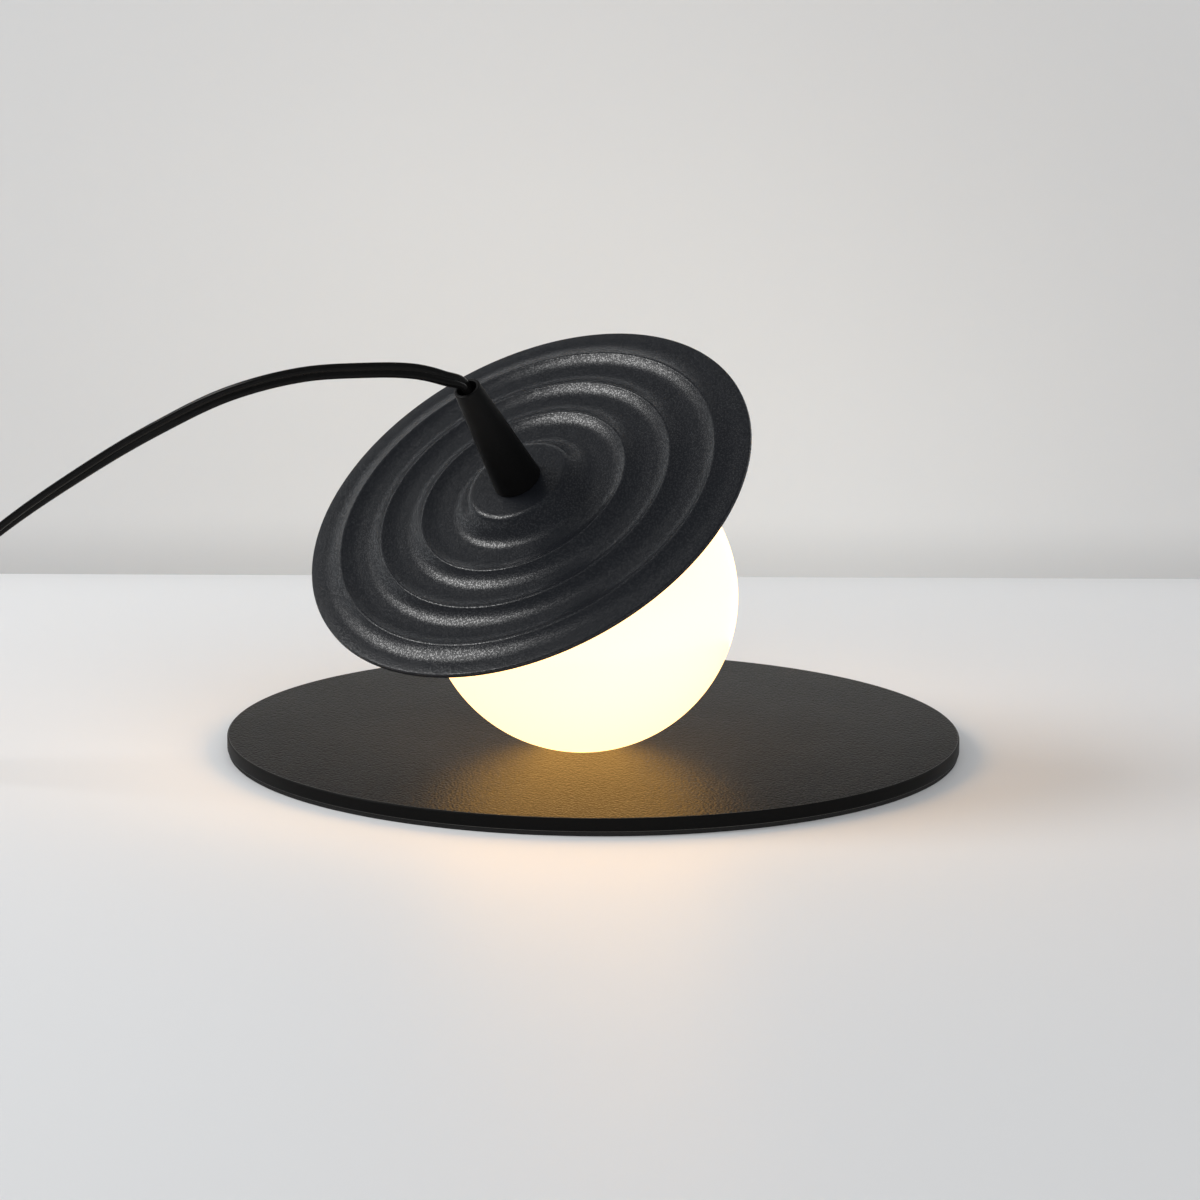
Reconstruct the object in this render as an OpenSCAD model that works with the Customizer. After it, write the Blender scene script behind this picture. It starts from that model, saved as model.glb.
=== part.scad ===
// Table lamp: an opal globe under a rippled disc shade leans in a seat on a flat round base.
// +X is to the right, +Y to the back, +Z up; the origin is the centre of the base's underside.

/* [Base] */
// Diameter of the base plate
base_d = 286; // [240:1:340]
// Thickness of the base plate
plate_t = 5.2; // [4.6:0.1:10]
// Chamfer along the plate's top edge
plate_chamfer = 0.6; // [0.2:0.1:1.5]
// Thickness of the soft pad under the plate
pad_t = 1.8; // [1:0.1:4]
// Set-back of the pad's edge from the plate's edge
pad_inset = 0.5; // [0:0.1:8]

/* [Seat] */
// Seat centre, to the right of the base centre
seat_x = -4.9; // [-30:0.1:30]
// Seat centre, behind the base centre
seat_y = -25.3; // [-40:0.1:40]
// Outside diameter of the seat ring
seat_d = 31; // [29:0.5:44]
// Diameter of the hole in the seat ring
seat_hole_d = 16; // [8:0.5:20]
// Depth of the pocket that holds the seat ring
seat_depth = 3.4; // [2.6:0.1:4.2]
// Depth that the globe sinks below the plate's top
globe_sink = 1.3; // [0.8:0.05:1.8]
// Gap between the globe and its seat
seat_gap = 0.2; // [0.1:0.05:0.3]
// Running clearance of the seat ring in its pocket
seat_fit = 0.08; // [0.02:0.01:0.1]

/* [Lean] */
// Lean of the head away from upright, in degrees
lean = 37.5; // [0:0.5:44]
// Direction that the head leans to, in degrees from +X
heading = 230.6; // [180:0.1:280]

/* [Globe] */
// Outside diameter of the globe
globe_d = 120; // [100:1:140]
// Thickness of the globe's glass
globe_wall = 2.5; // [1.5:0.1:4]
// Outside diameter of the globe's neck
neck_d = 32; // [31:0.5:34]
// Thickness of the glass in the neck
neck_wall = 2.8; // [2:0.1:3]
// Height of the neck above the globe's shoulder
neck_h = 2.9; // [2.4:0.1:6]
// Height of the thread bead on the neck
bead_h = 0.4; // [0.2:0.05:0.5]
// Thickness of the gasket on the neck
gasket_t = 0.8; // [0.4:0.1:1.5]

/* [Shade] */
// Diameter of the shade
shade_d = 180; // [165:1:220]
// Thickness of the pressed sheet
sheet_t = 1.6; // [1:0.1:2.5]
// Diameter of the raised boss in the middle
boss_d = 40; // [38:0.5:48]
// Height of the boss above the rim
boss_h = 10.7; // [8:0.1:16]
// Run of the sloping wall around the boss
boss_wall_w = 11; // [8:0.5:14]
// Rounding of the boss's edge
boss_edge = 1.4; // [0.6:0.1:2]
// Number of ripples
crest_count = 3; // [2:1:5]
// Distance from the boss's edge to the first crest
crest_gap = 21.7; // [19:0.1:26]
// Width of the flange outside the last crest
flange_w = 13.3; // [10:0.1:18]
// Height of the first crest above the rim
crest_in_h = 5.5; // [3:0.1:7]
// Height of the last crest above the rim
crest_out_h = 2.5; // [2:0.1:4]
// Rise of a ripple on its inner side
ripple_rise = 1.9; // [0.8:0.1:2]
// Width of a ripple's inner flank
flank_in_w = 6.5; // [3:0.1:8]
// Width of a ripple's outer flank
flank_out_w = 8; // [4:0.1:9]
// Rounding of the rim's top edge
rim_round = 0.6; // [0.2:0.1:0.8]

/* [Cone] */
// Length of the cord cone
cone_len = 49; // [40:0.5:70]
// Diameter of the cone's foot
cone_foot_d = 18.7; // [17:0.1:24]
// Diameter of the cone's tip
cone_tip_d = 10.4; // [9.6:0.1:13]
// Bore at the cone's tip
cone_bore_d = 7.8; // [7:0.1:8.4]
// Depth of the socket in the cone's foot
socket_len = 22; // [18:0.5:26]
// Length of the nipple inside the cone
nipple_in_cone = 12; // [8:0.5:14]

/* [Fitting] */
// Thickness of the gallery's top
gallery_t = 1.2; // [0.8:0.1:2]
// Thickness of the gallery's skirt
skirt_t = 1.2; // [0.8:0.1:1.5]
// Depth of the gallery's skirt below its top
skirt_h = 3.3; // [2:0.1:3.5]
// Outside diameter of the threaded nipple
nipple_d = 10; // [9:0.5:11]
// Bore of the threaded nipple
nipple_bore_d = 7.6; // [7:0.1:7.9]
// Height of the nut on the nipple
nut_h = 3; // [2.5:0.1:4]
// Width across the nut's flats
nut_af = 14; // [13:0.5:15]
// Thickness of the lock washer
washer_t = 0.6; // [0.4:0.1:1]
// Thickness of the holder bracket's strip
strip_t = 0.8; // [0.6:0.1:1]
// Width of the holder bracket's strip
strip_w = 8; // [6:0.5:9]

/* [Lampholder and bulb] */
// Width of the lampholder across its flats
holder_w = 20; // [18:0.5:21]
// Depth of the lampholder
holder_depth = 14; // [13:0.5:16]
// Height of the lampholder
holder_h = 18; // [16:0.5:24]
// Space above the lampholder for the bracket's nut and the leads
holder_drop = 6.7; // [6:0.1:10]
// Width of the bulb's cap
cap_w = 14; // [13:0.5:15]
// Thickness of the bulb's cap
cap_t = 8; // [7:0.5:9]
// Length of the bulb's cap
cap_h = 19; // [15:0.5:22]
// Depth of the slot that takes the cap
slot_h = 10; // [8:0.5:11]
// Distance between the bulb's pins
pin_pitch = 9; // [8:0.5:9.5]
// Diameter of the bulb's pins
pin_d = 1.4; // [1:0.1:1.6]
// Diameter of the bulb's envelope
bulb_d = 16; // [14:0.5:20]
// Length of the straight part of the envelope
bulb_len = 32; // [20:1:40]
// Thickness of the envelope
bulb_wall = 0.8; // [0.5:0.1:1.2]

/* [Cord] */
// Width of the flat twin cord
cord_w = 5.8; // [5:0.1:6.2]
// Thickness of the flat twin cord
cord_t = 2.9; // [2.4:0.1:3.1]
// Clearance around the cord in its openings
cord_fit = 0.2; // [0.1:0.05:0.3]
// Loops in the coil
coil_turns = 6.5; // [4.5:1:10.5]
// Radius of the coil's innermost loop
coil_in_r = 24; // [20:0.5:40]
// Step from loop to loop
coil_pitch = 3.7; // [3.5:0.1:5]
// Step from layer to layer
coil_layer = 7; // [6.8:0.1:8]
// Width of the coil's tie
tie_w = 10; // [6:0.5:16]
// Thickness of the coil's tie
tie_t = 0.6; // [0.4:0.1:1]

/* [Switch] */
// Length of the in-line switch
switch_len = 58; // [54:1:70]
// Width of the in-line switch
switch_w = 20; // [19:0.5:26]
// Height of the in-line switch
switch_h = 14; // [13:0.5:18]
// Height of the joint between the switch's halves
switch_split = 7; // [6.6:0.1:7.4]
// Thickness of the switch's walls
switch_wall = 1.6; // [1.2:0.1:2]
// Length of the rocker
rocker_len = 16.4; // [14:0.2:18]
// Width of the rocker
rocker_w = 8.4; // [7:0.2:9]
// Tilt of the rocker at each end of its travel, in degrees
rocker_tilt = 8; // [5:0.5:9]
// Height of the rocker's axle
axle_z = 9.6; // [9.4:0.1:10.2]
// Diameter of the rocker's axle
axle_d = 2; // [1.6:0.1:2.4]
// Running clearance around the axle
axle_fit = 0.05; // [0.02:0.01:0.1]

/* [Plug] */
// Length of the plug's body
plug_len = 28; // [24:0.5:36]
// Width of the plug's body
plug_w = 22; // [20:0.5:28]
// Height of the plug's body
plug_h = 14; // [11:0.5:18]
// Length of the plug's strain relief
relief_len = 20; // [20:0.5:40]
// Distance between the plug's blades
blade_pitch = 12.7; // [12:0.1:13]
// Length of the plug's blades
blade_len = 17; // [14:0.5:20]
// Width of the plug's blades
blade_w = 6.3; // [5:0.1:7]
// Thickness of the plug's blades
blade_t = 1.5; // [1.2:0.1:2]

/* [Hidden] */
$fn = 96;

// Extra length of a cutting shape beyond the face that it opens
cut = 1;

// Heights above the table, and the globe's centre
plate_top = pad_t + plate_t;
globe_r = globe_d / 2;
globe_c = [seat_x, seat_y, plate_top + globe_r - globe_sink];
head_axis = [sin(lean) * cos(heading), sin(lean) * sin(heading), cos(lean)];

// Heights along the head's axis, from the globe's centre
neck_r = neck_d / 2;
shoulder_z = sqrt(globe_r * globe_r - neck_r * neck_r);
neck_top = shoulder_z + neck_h;
gallery_z = neck_top + gasket_t;
boss_under = gallery_z + gallery_t;
boss_top = boss_under + sheet_t;
rim_top = boss_top - boss_h;
tip_z = boss_top + cone_len;
strip_z = gallery_z - strip_t;
washer_z = strip_z - washer_t;
nut_z = washer_z - nut_h;
nipple_z = nut_z - 0.6;
holder_top = strip_z - holder_drop;
holder_z = holder_top - holder_h;
cap_top = holder_z + slot_h;
cap_z = cap_top - cap_h;
leads_z = nipple_z - 0.6;
thread_fit = 0.05;

// The neck's inside, which the lampholder passes through
neck_in_r = neck_r - neck_wall;
skirt_r = neck_r + bead_h + 0.2;

// Shade outline, as radius and height above the rim
shade_r = shade_d / 2;
boss_r = boss_d / 2;
crest_pitch = (shade_r - flange_w - boss_r - crest_gap) / (crest_count - 1);
flank_in = min(flank_in_w, 0.42 * crest_pitch);
flank_out = min(flank_out_w, 0.52 * crest_pitch);
function crest_r(i) = boss_r + crest_gap + i * crest_pitch;
function crest_z(i) = crest_in_h + (crest_out_h - crest_in_h) * i / (crest_count - 1);
function floor_z(i) = i < crest_count ? crest_z(i) - ripple_rise : 0;

// Curve from a to c that leaves a and reaches c along the lines to b
function bend(a, b, c, n) = [for (k = [1 : n])
    let (u = k / n)
    a * (1 - u) * (1 - u) + b * 2 * u * (1 - u) + c * u * u];

wall_slope = 2 * (boss_h - floor_z(0)) / boss_wall_w;
wall_angle = atan(wall_slope);
wall_start = [boss_r + boss_edge * cos(wall_angle), boss_h - boss_edge * sin(wall_angle)];
wall_half = (wall_start[1] - floor_z(0)) / wall_slope;

function ripple(i) = concat(
    [[crest_r(i) - flank_in, floor_z(i)]],
    bend([crest_r(i) - flank_in, floor_z(i)], [crest_r(i) - flank_in / 2, floor_z(i)],
        [crest_r(i), crest_z(i)], 5),
    bend([crest_r(i), crest_z(i)], [crest_r(i) + flank_out / 2, floor_z(i + 1)],
        [crest_r(i) + flank_out, floor_z(i + 1)], 6));

shade_face = concat(
    [[nipple_d / 2 + thread_fit, boss_h], [boss_r - boss_edge, boss_h]],
    bend([boss_r - boss_edge, boss_h], [boss_r, boss_h], wall_start, 4),
    bend(wall_start, [wall_start[0] + wall_half, floor_z(0)], [wall_start[0] + 2 * wall_half, floor_z(0)], 7),
    [for (i = [0 : crest_count - 1]) each ripple(i)],
    [[shade_r - rim_round, 0]]);
shade_rim = bend([shade_r - rim_round, 0], [shade_r, 0], [shade_r, -rim_round], 3);
shade_back = [for (k = [len(shade_face) - 1 : -1 : 0]) shade_face[k] - [0, sheet_t]];

// Cord route in the air and down to the switch: x, y, z and the roll of the flat cord.
// A roll of 0 lies flat and 90 stands on edge.
switch_x = -355;
switch_y = 63;
entry_z = 4;
mouth_roll = 123;
tip_gap = 0.1;
air_route = [
    [-51.5, -82, 157.5, 118], [-57, -86, 160.5, 112], [-62, -89, 162.5, 104], [-68, -92, 164, 97],
    [-78, -95, 165, 92], [-88, -97, 165, 89], [-99, -98, 164.5, 86], [-109, -98, 163.5, 83],
    [-118, -97, 161.5, 80], [-127, -95, 159, 77], [-136, -93, 155.5, 74], [-145, -90, 151, 70],
    [-154, -87, 146, 66], [-163, -83, 140, 62], [-172, -79, 134, 57], [-181, -75, 128.5, 52],
    [-190, -71, 123, 46], [-200, -66, 117, 40], [-213, -60, 107, 33], [-226, -55, 97, 27],
    [-238, -51, 86, 22], [-250, -49, 75, 18], [-262, -47, 63.5, 14], [-274, -45, 52, 11],
    [-286, -43, 40.5, 8], [-298, -40, 29.5, 5], [-310, -35, 19.5, 3], [-322, -28, 11.5, 1],
    [-333, -18, 5.5, 0], [-342, -6, 2.2, 0], [-349, 8, 1.6, 0], [-353, 22, 2.4, 0]];

// Cord from the switch to the coil: distance along +Y, height and roll
run_len = 45;
run_route = [[0, 4, 0], [9, 4, 8], [18, 4, 28], [27, 4, 62], [36, 4, 82], [45, 4, 90]];
// Cord from the coil to the plug: distance along -Y, height and roll
tail_len = 45;
tail_route = [[0, 10.8, 90], [9, 10.6, 80], [18, 9.9, 56], [27, 8.8, 28], [36, 7.6, 8], [45, 7, 0]];

// Coil: it spirals in and out again, and climbs a layer in the half turn where it reverses
loop_rings = 24;
tie_gap = 0.3;
coil_z = tie_t + tie_gap + cord_w / 2;
coil_r = coil_in_r + coil_pitch * coil_turns / 2;
coil_c = [switch_x + coil_r, switch_y + switch_len / 2 + run_len + cord_w];
function ramp(u) = u <= 0 ? 0 : u >= 1 ? 1 : u * u * (3 - 2 * u);
function coil_point(t) =
    let (r = coil_in_r + coil_pitch * abs(t - coil_turns / 2), a = 180 - 360 * t)
    [coil_c[0] + r * cos(a), coil_c[1] + r * sin(a), coil_z + coil_layer * ramp(2 * t - coil_turns + 0.5)];
coil_loops = [for (k = [0 : coil_turns * loop_rings]) coil_point(k / loop_rings)];
coil_end_r = coil_r * cos(180 * (2 * coil_turns - 1));
coil_path = concat(
    [[coil_c[0] - coil_r, coil_c[1] - cord_w, coil_z]],
    coil_loops,
    [[coil_c[0] + coil_end_r, coil_c[1] - cord_w, coil_z + coil_layer]]);

// Plug: its place follows the tail's end
plug_x = coil_c[0] + coil_end_r;
plug_y = coil_c[1] - cord_w - tail_len;

// Tubes swept along a path, with the section's width turned by a roll about the path
function unit(v) = v / norm(v);
function heading_at(p, i) = unit(p[min(i + 1, len(p) - 1)] - p[max(i - 1, 0)]);
function across(t, roll) =
    let (side = unit(cross([0, 0, 1], t)))
    side * cos(roll) + cross(t, side) * sin(roll);
function ring_at(p, t, roll, section) =
    let (w = across(t, roll), v = cross(t, w))
    [for (s = section) p + w * s[0] + v * s[1]];
function rings_along(path, ways, rolls, section) =
    [for (i = [0 : len(path) - 1]) ring_at(path[i], ways[i], rolls[i], section)];
function tube_faces(rings, sides) = concat(
    [for (k = [1 : sides - 2]) [0, k, k + 1]],
    [for (k = [1 : sides - 2]) [0, k + 1, k] + (rings - 1) * sides * [1, 1, 1]],
    [for (i = [0 : rings - 2], k = [0 : sides - 1], half = [0, 1])
        let (a = i * sides + k, b = i * sides + (k + 1) % sides)
        half == 0 ? [a, b + sides, b] : [a, a + sides, b + sides]]);

module tube(path, ways, rolls, section) {
    rings = rings_along(path, ways, rolls, section);
    polyhedron(points = [for (r = rings) each r], faces = tube_faces(len(rings), len(section)));
}

function ways_of(path) = [for (i = [0 : len(path) - 1]) heading_at(path, i)];

// Flat cord sections, as width and thickness: ten sides on a free stretch, six in the coil
cord_r = cord_t / 2;
core_x = cord_w / 2 - cord_r;
cord_section = concat(
    [for (a = [-90 : 45 : 90]) [core_x + cord_r * cos(a), cord_r * sin(a)]],
    [for (a = [90 : 45 : 270]) [-core_x + cord_r * cos(a), cord_r * sin(a)]]);
coil_section = [[cord_w / 2, 0], [core_x, cord_r], [-core_x, cord_r],
    [-cord_w / 2, 0], [-core_x, -cord_r], [core_x, -cord_r]];

// Least distance between the coil's loops, on the points of rings that lie side by side
function coil_gap(rings) = min([for (i = [0 : len(rings) - 1], turn = [1 : coil_turns], near = [-2 : 2])
    let (j = i + turn * loop_rings + near)
    if (j < len(rings)) each [for (p = rings[i], q = rings[j]) norm(p - q)]]);

// Switch details
bearing_t = 2;
rocker_gap = 0.3;
window_len = rocker_len + 2 * (rocker_gap + 0.5);
window_w = rocker_w + 2 * rocker_gap;
screw_at = [[12.5, 6.2], [-12.5, -6.2]];
screw_d = 2.4;
screw_fit = 0.05;
post_d = 4.6;
switch_floor = 1.6;
stub_len = 11;
terminal_w = 5;
crown = 1.6;

// Places
module on_head() {
    translate(globe_c) rotate([0, lean, heading]) children();
}

module on_switch() {
    translate([switch_x, switch_y, 0]) rotate([0, 0, 90]) children();
}

module on_plug() {
    translate([plug_x, plug_y, plug_h / 2]) rotate([0, 0, -90]) children();
}

module tubing(outer_d, inner_d, h) {
    difference() {
        cylinder(d = outer_d, h = h);
        translate([0, 0, -cut]) cylinder(d = inner_d, h = h + 2 * cut);
    }
}

// Base
module base_plate() color("#3d3c3b") {
    difference() {
        union() {
            translate([0, 0, pad_t]) cylinder(d = base_d, h = plate_t - plate_chamfer);
            translate([0, 0, plate_top - plate_chamfer])
                cylinder(d1 = base_d, d2 = base_d - 2 * plate_chamfer, h = plate_chamfer);
        }
        translate([seat_x, seat_y, plate_top - seat_depth]) cylinder(d = seat_d, h = seat_depth + cut);
    }
}

module base_pad() color("#161616") {
    cylinder(d = base_d - 2 * pad_inset, h = pad_t);
}

module seat_ring() color("#101010") {
    difference() {
        translate([seat_x, seat_y, plate_top - seat_depth + seat_fit])
            tubing(seat_d - 2 * seat_fit, seat_hole_d, seat_depth - seat_fit);
        translate(globe_c) sphere(r = globe_r + seat_gap);
    }
}

// Head
module globe() color("#fffbe6") on_head() {
    difference() {
        union() {
            sphere(r = globe_r);
            cylinder(r = neck_r, h = neck_top);
            translate([0, 0, shoulder_z + neck_h / 2]) rotate_extrude()
                translate([neck_r, 0]) circle(r = bead_h);
        }
        sphere(r = globe_r - globe_wall);
        cylinder(r = neck_in_r, h = neck_top + cut);
    }
}

module globe_gasket() color("#e8e4da") on_head() {
    translate([0, 0, neck_top]) tubing(neck_d, 2 * neck_in_r, gasket_t);
}

module shade_disc() color("#303236") on_head() {
    translate([0, 0, rim_top]) rotate_extrude()
        polygon(concat(shade_face, shade_rim, [[shade_r, -sheet_t]], shade_back));
}

module gallery_ring() color("#b9b9b4") on_head() {
    translate([0, 0, gallery_z]) tubing(2 * (skirt_r + skirt_t), nipple_d + 2 * thread_fit, gallery_t);
    translate([0, 0, gallery_z - skirt_h]) tubing(2 * (skirt_r + skirt_t), 2 * skirt_r, skirt_h);
}

module holder_bracket() color("#c4c4be") on_head() {
    leg_h = strip_z - (holder_top - holder_h / 2);
    difference() {
        translate([-holder_w / 2 - strip_t, -strip_w / 2, strip_z])
            cube([holder_w + 2 * strip_t, strip_w, strip_t]);
        translate([0, 0, strip_z - cut]) cylinder(d = nipple_d + 2 * thread_fit, h = strip_t + 2 * cut);
    }
    for (s = [-1, 1]) difference() {
        translate([s * (holder_w + strip_t) / 2 - strip_t / 2, -strip_w / 2, strip_z - leg_h])
            cube([strip_t, strip_w, leg_h]);
        translate([0, 0, holder_top - 4]) rotate([0, s * 90, 0])
            cylinder(d = screw_d + 2 * screw_fit, h = holder_w);
    }
}

module bracket_screws() color("#9a9a96") on_head() {
    for (s = [-1, 1]) translate([s * (holder_w / 2 - 3), 0, holder_top - 4]) rotate([0, s * 90, 0]) {
        cylinder(d = screw_d, h = 3 + strip_t);
        translate([0, 0, 3 + strip_t]) cylinder(d = 4.4, h = 1);
    }
}

module lampholder_body() color("#efece4") on_head() {
    difference() {
        intersection() {
            translate([0, 0, holder_z]) cylinder(d = holder_w * 1.15, h = holder_h);
            translate([-holder_w / 2, -holder_depth / 2, holder_z]) cube([holder_w, holder_depth, holder_h]);
        }
        translate([-cap_w / 2 - 0.2, -cap_t / 2 - 0.2, holder_z - cut])
            cube([cap_w + 0.4, cap_t + 0.4, slot_h + cut]);
        for (s = [-1, 1]) {
            translate([s * pin_pitch / 2 - 1.6, -2.2, cap_top - cut]) cube([3.2, 4.4, 5.6 + cut]);
            translate([0, 0, holder_top - 4]) rotate([0, s * 90, 0]) translate([0, 0, holder_w / 2 - 3])
                cylinder(d = screw_d + 2 * screw_fit, h = holder_w);
        }
    }
}

module lampholder_contacts() color("#c9a24b") on_head() {
    for (s = [-1, 1]) translate([s * pin_pitch / 2, 0, cap_top]) difference() {
        translate([-1.5, -2, 0.2]) cube([3, 4, 5.4]);
        translate([-pin_d / 2 - 0.05, -2 - cut, 0.2 - cut]) cube([pin_d + 0.1, 4 + 2 * cut, 4.6 + cut]);
    }
}

module bulb_cap() color("#f2efe8") on_head() {
    difference() {
        translate([-cap_w / 2, -cap_t / 2, cap_z]) cube([cap_w, cap_t, cap_h]);
        for (s = [-1, 1]) translate([s * pin_pitch / 2, 0, cap_top - 4]) cylinder(d = pin_d, h = 4 + cut);
    }
}

module bulb_pins() color("#d0cfca") on_head() {
    for (s = [-1, 1]) translate([s * pin_pitch / 2, 0, cap_top - 4]) cylinder(d = pin_d, h = 8);
}

module bulb_envelope() color("#fff7dc") on_head() {
    end_z = cap_z - bulb_len;
    difference() {
        union() {
            translate([0, 0, end_z]) cylinder(d = bulb_d, h = bulb_len);
            translate([0, 0, end_z]) sphere(d = bulb_d);
        }
        translate([0, 0, end_z]) cylinder(d = bulb_d - 2 * bulb_wall, h = bulb_len + cut);
        translate([0, 0, end_z]) sphere(d = bulb_d - 2 * bulb_wall);
    }
}

module bulb_light_strip() color("#ffd76a") on_head() {
    strip_len = bulb_len - 2;
    led_pitch = 4;
    board_w = bulb_d - 2 * bulb_wall - 4;
    translate([-board_w / 2, -0.5, cap_z - strip_len]) cube([board_w, 1, strip_len]);
    for (z = [3 : led_pitch : strip_len - 3], s = [-1, 1], x = [-1, 1])
        translate([x * board_w / 4 - 1, s < 0 ? -1.3 : 0.5, cap_z - z - 1.4]) cube([2, 0.8, 2.8]);
}

module threaded_nipple() color("#c8b26a") on_head() {
    translate([0, 0, nipple_z]) tubing(nipple_d, nipple_bore_d, boss_top + nipple_in_cone - nipple_z);
}

module nipple_nut() color("#c8b26a") on_head() {
    difference() {
        translate([0, 0, nut_z]) cylinder(d = nut_af / cos(30), h = nut_h, $fn = 6);
        translate([0, 0, nut_z - cut]) cylinder(d = nipple_d + 2 * thread_fit, h = nut_h + 2 * cut);
    }
}

module lock_washer() color("#a8a8a4") on_head() {
    translate([0, 0, washer_z]) tubing(nut_af + 1.5, nipple_d + 2 * thread_fit, washer_t);
}

module cord_cone() color("#141414") on_head() {
    difference() {
        translate([0, 0, boss_top]) cylinder(d1 = cone_foot_d, d2 = cone_tip_d, h = cone_len);
        translate([0, 0, boss_top - cut]) cylinder(d = nipple_d + 2 * thread_fit, h = socket_len + cut);
        translate([0, 0, boss_top]) cylinder(d = cone_bore_d, h = cone_len + cut);
    }
}

module cord_outline(gap) {
    for (s = [-1, 1]) translate([s * core_x, 0]) circle(r = cord_r + gap);
    square([2 * core_x, 2 * (cord_r * 0.7 + gap)], center = true);
}

module cord_grip() color("#d8d4c8") on_head() {
    grip_z = boss_top + nipple_in_cone;
    translate([0, 0, grip_z]) linear_extrude(socket_len - nipple_in_cone) difference() {
        circle(d = nipple_d);
        rotate(mouth_turn) cord_outline(thread_fit);
    }
}

// Turn of the flat cord about the head's axis that suits its roll where it leaves the cone
mouth_turn = mouth_roll + 90;

module cord_in_cone() color("#0b0b0b") on_head() {
    translate([0, 0, leads_z]) linear_extrude(tip_z - leads_z) rotate(mouth_turn) cord_outline(0);
}

module holder_leads() color("#8c3b2a") on_head() {
    rotate(mouth_turn) for (s = [-1, 1])
        translate([s * core_x, 0, holder_top]) cylinder(d = cord_t - 0.9, h = leads_z - holder_top);
}

// Cord
module cord_arch() color("#0b0b0b") {
    tip = globe_c + head_axis * (tip_z + tip_gap);
    entry = [switch_x, switch_y - switch_len / 2, entry_z];
    path = concat([tip, tip + head_axis * 2], [for (p = air_route) [p[0], p[1], p[2]]], [entry]);
    cord_mm = [for (i = [1 : len(path) - 1]) norm(path[i] - path[i - 1])];
    echo(length_of_arch = cord_mm * [for (c = cord_mm) 1]);
    rolls = concat([mouth_roll, mouth_roll], [for (p = air_route) p[3]], [0]);
    last = len(path) - 1;
    ways = [for (i = [0 : last]) i < 1 ? head_axis : i == last ? [0, 1, 0] : heading_at(path, i)];
    tube(path, ways, rolls, cord_section);
}

module cord_run() color("#0b0b0b") {
    from_y = switch_y + switch_len / 2;
    path = [for (p = run_route) [switch_x, from_y + p[0] / 45 * run_len,
        entry_z + (coil_z - entry_z) * ramp(p[0] / 45)]];
    tube(path, [for (p = path) [0, 1, 0]], [for (p = run_route) p[2]], cord_section);
}

module cord_coil() color("#0b0b0b") {
    last = len(coil_path) - 1;
    ways = [for (i = [0 : last]) i < 1 ? [0, 1, 0] : i == last ? [0, -1, 0] : heading_at(coil_path, i)];
    rolls = [for (p = coil_path) 90];
    echo(least_gap_in_coil = coil_gap(rings_along(coil_loops, ways_of(coil_loops), rolls, coil_section)));
    cord_mm = [for (i = [1 : last]) norm(coil_path[i] - coil_path[i - 1])];
    echo(length_of_coil = cord_mm * [for (c = cord_mm) 1]);
    tube(coil_path, ways, rolls, coil_section);
}

module coil_tie() color("#1d1d1d") {
    in_y = sqrt(pow(coil_in_r - cord_r, 2) - tie_w * tie_w / 4) - tie_gap;
    out_y = coil_r + cord_r + tie_gap;
    in_h = cord_w + coil_layer + 2 * tie_gap;
    translate([coil_c[0] - tie_w / 2, coil_c[1], 0]) difference() {
        translate([0, in_y - tie_t, 0]) cube([tie_w, out_y - in_y + 2 * tie_t, in_h + 2 * tie_t]);
        translate([-cut, in_y, tie_t]) cube([tie_w + 2 * cut, out_y - in_y, in_h]);
    }
}

module cord_tail() color("#0b0b0b") {
    top_z = coil_z + coil_layer;
    path = [for (p = tail_route) [plug_x, coil_c[1] - cord_w - p[0] / 45 * tail_len,
        top_z + (plug_h / 2 - top_z) * ramp(p[0] / 45)]];
    tube(path, [for (p = path) [0, -1, 0]], [for (p = tail_route) p[2]], cord_section);
}

// In-line switch
module switch_outline(inset) {
    end_x = (switch_len - switch_w) / 2;
    for (s = [-1, 1]) translate([s * end_x, 0]) circle(d = switch_w - 2 * inset);
    square([2 * end_x, switch_w - 2 * inset], center = true);
}

module cord_openings() {
    for (s = [-1, 1]) translate([s * switch_len / 2, 0, entry_z])
        cube([4 * switch_wall + 2 * cut, cord_w + 2 * cord_fit, cord_t + 2 * cord_fit], center = true);
}

module switch_base() color("#131313") on_switch() {
    difference() {
        union() {
            difference() {
                linear_extrude(switch_split) switch_outline(0);
                translate([0, 0, switch_floor]) linear_extrude(switch_split) switch_outline(switch_wall);
            }
            for (p = screw_at) translate(p) cylinder(d = post_d, h = switch_split);
        }
        cord_openings();
        for (p = screw_at) translate(p) {
            translate([0, 0, -cut]) cylinder(d = screw_d + 2 * screw_fit, h = switch_split + 2 * cut);
            translate([0, 0, -cut]) cylinder(d = 4.2, h = 1.2 + cut);
        }
    }
}

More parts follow.
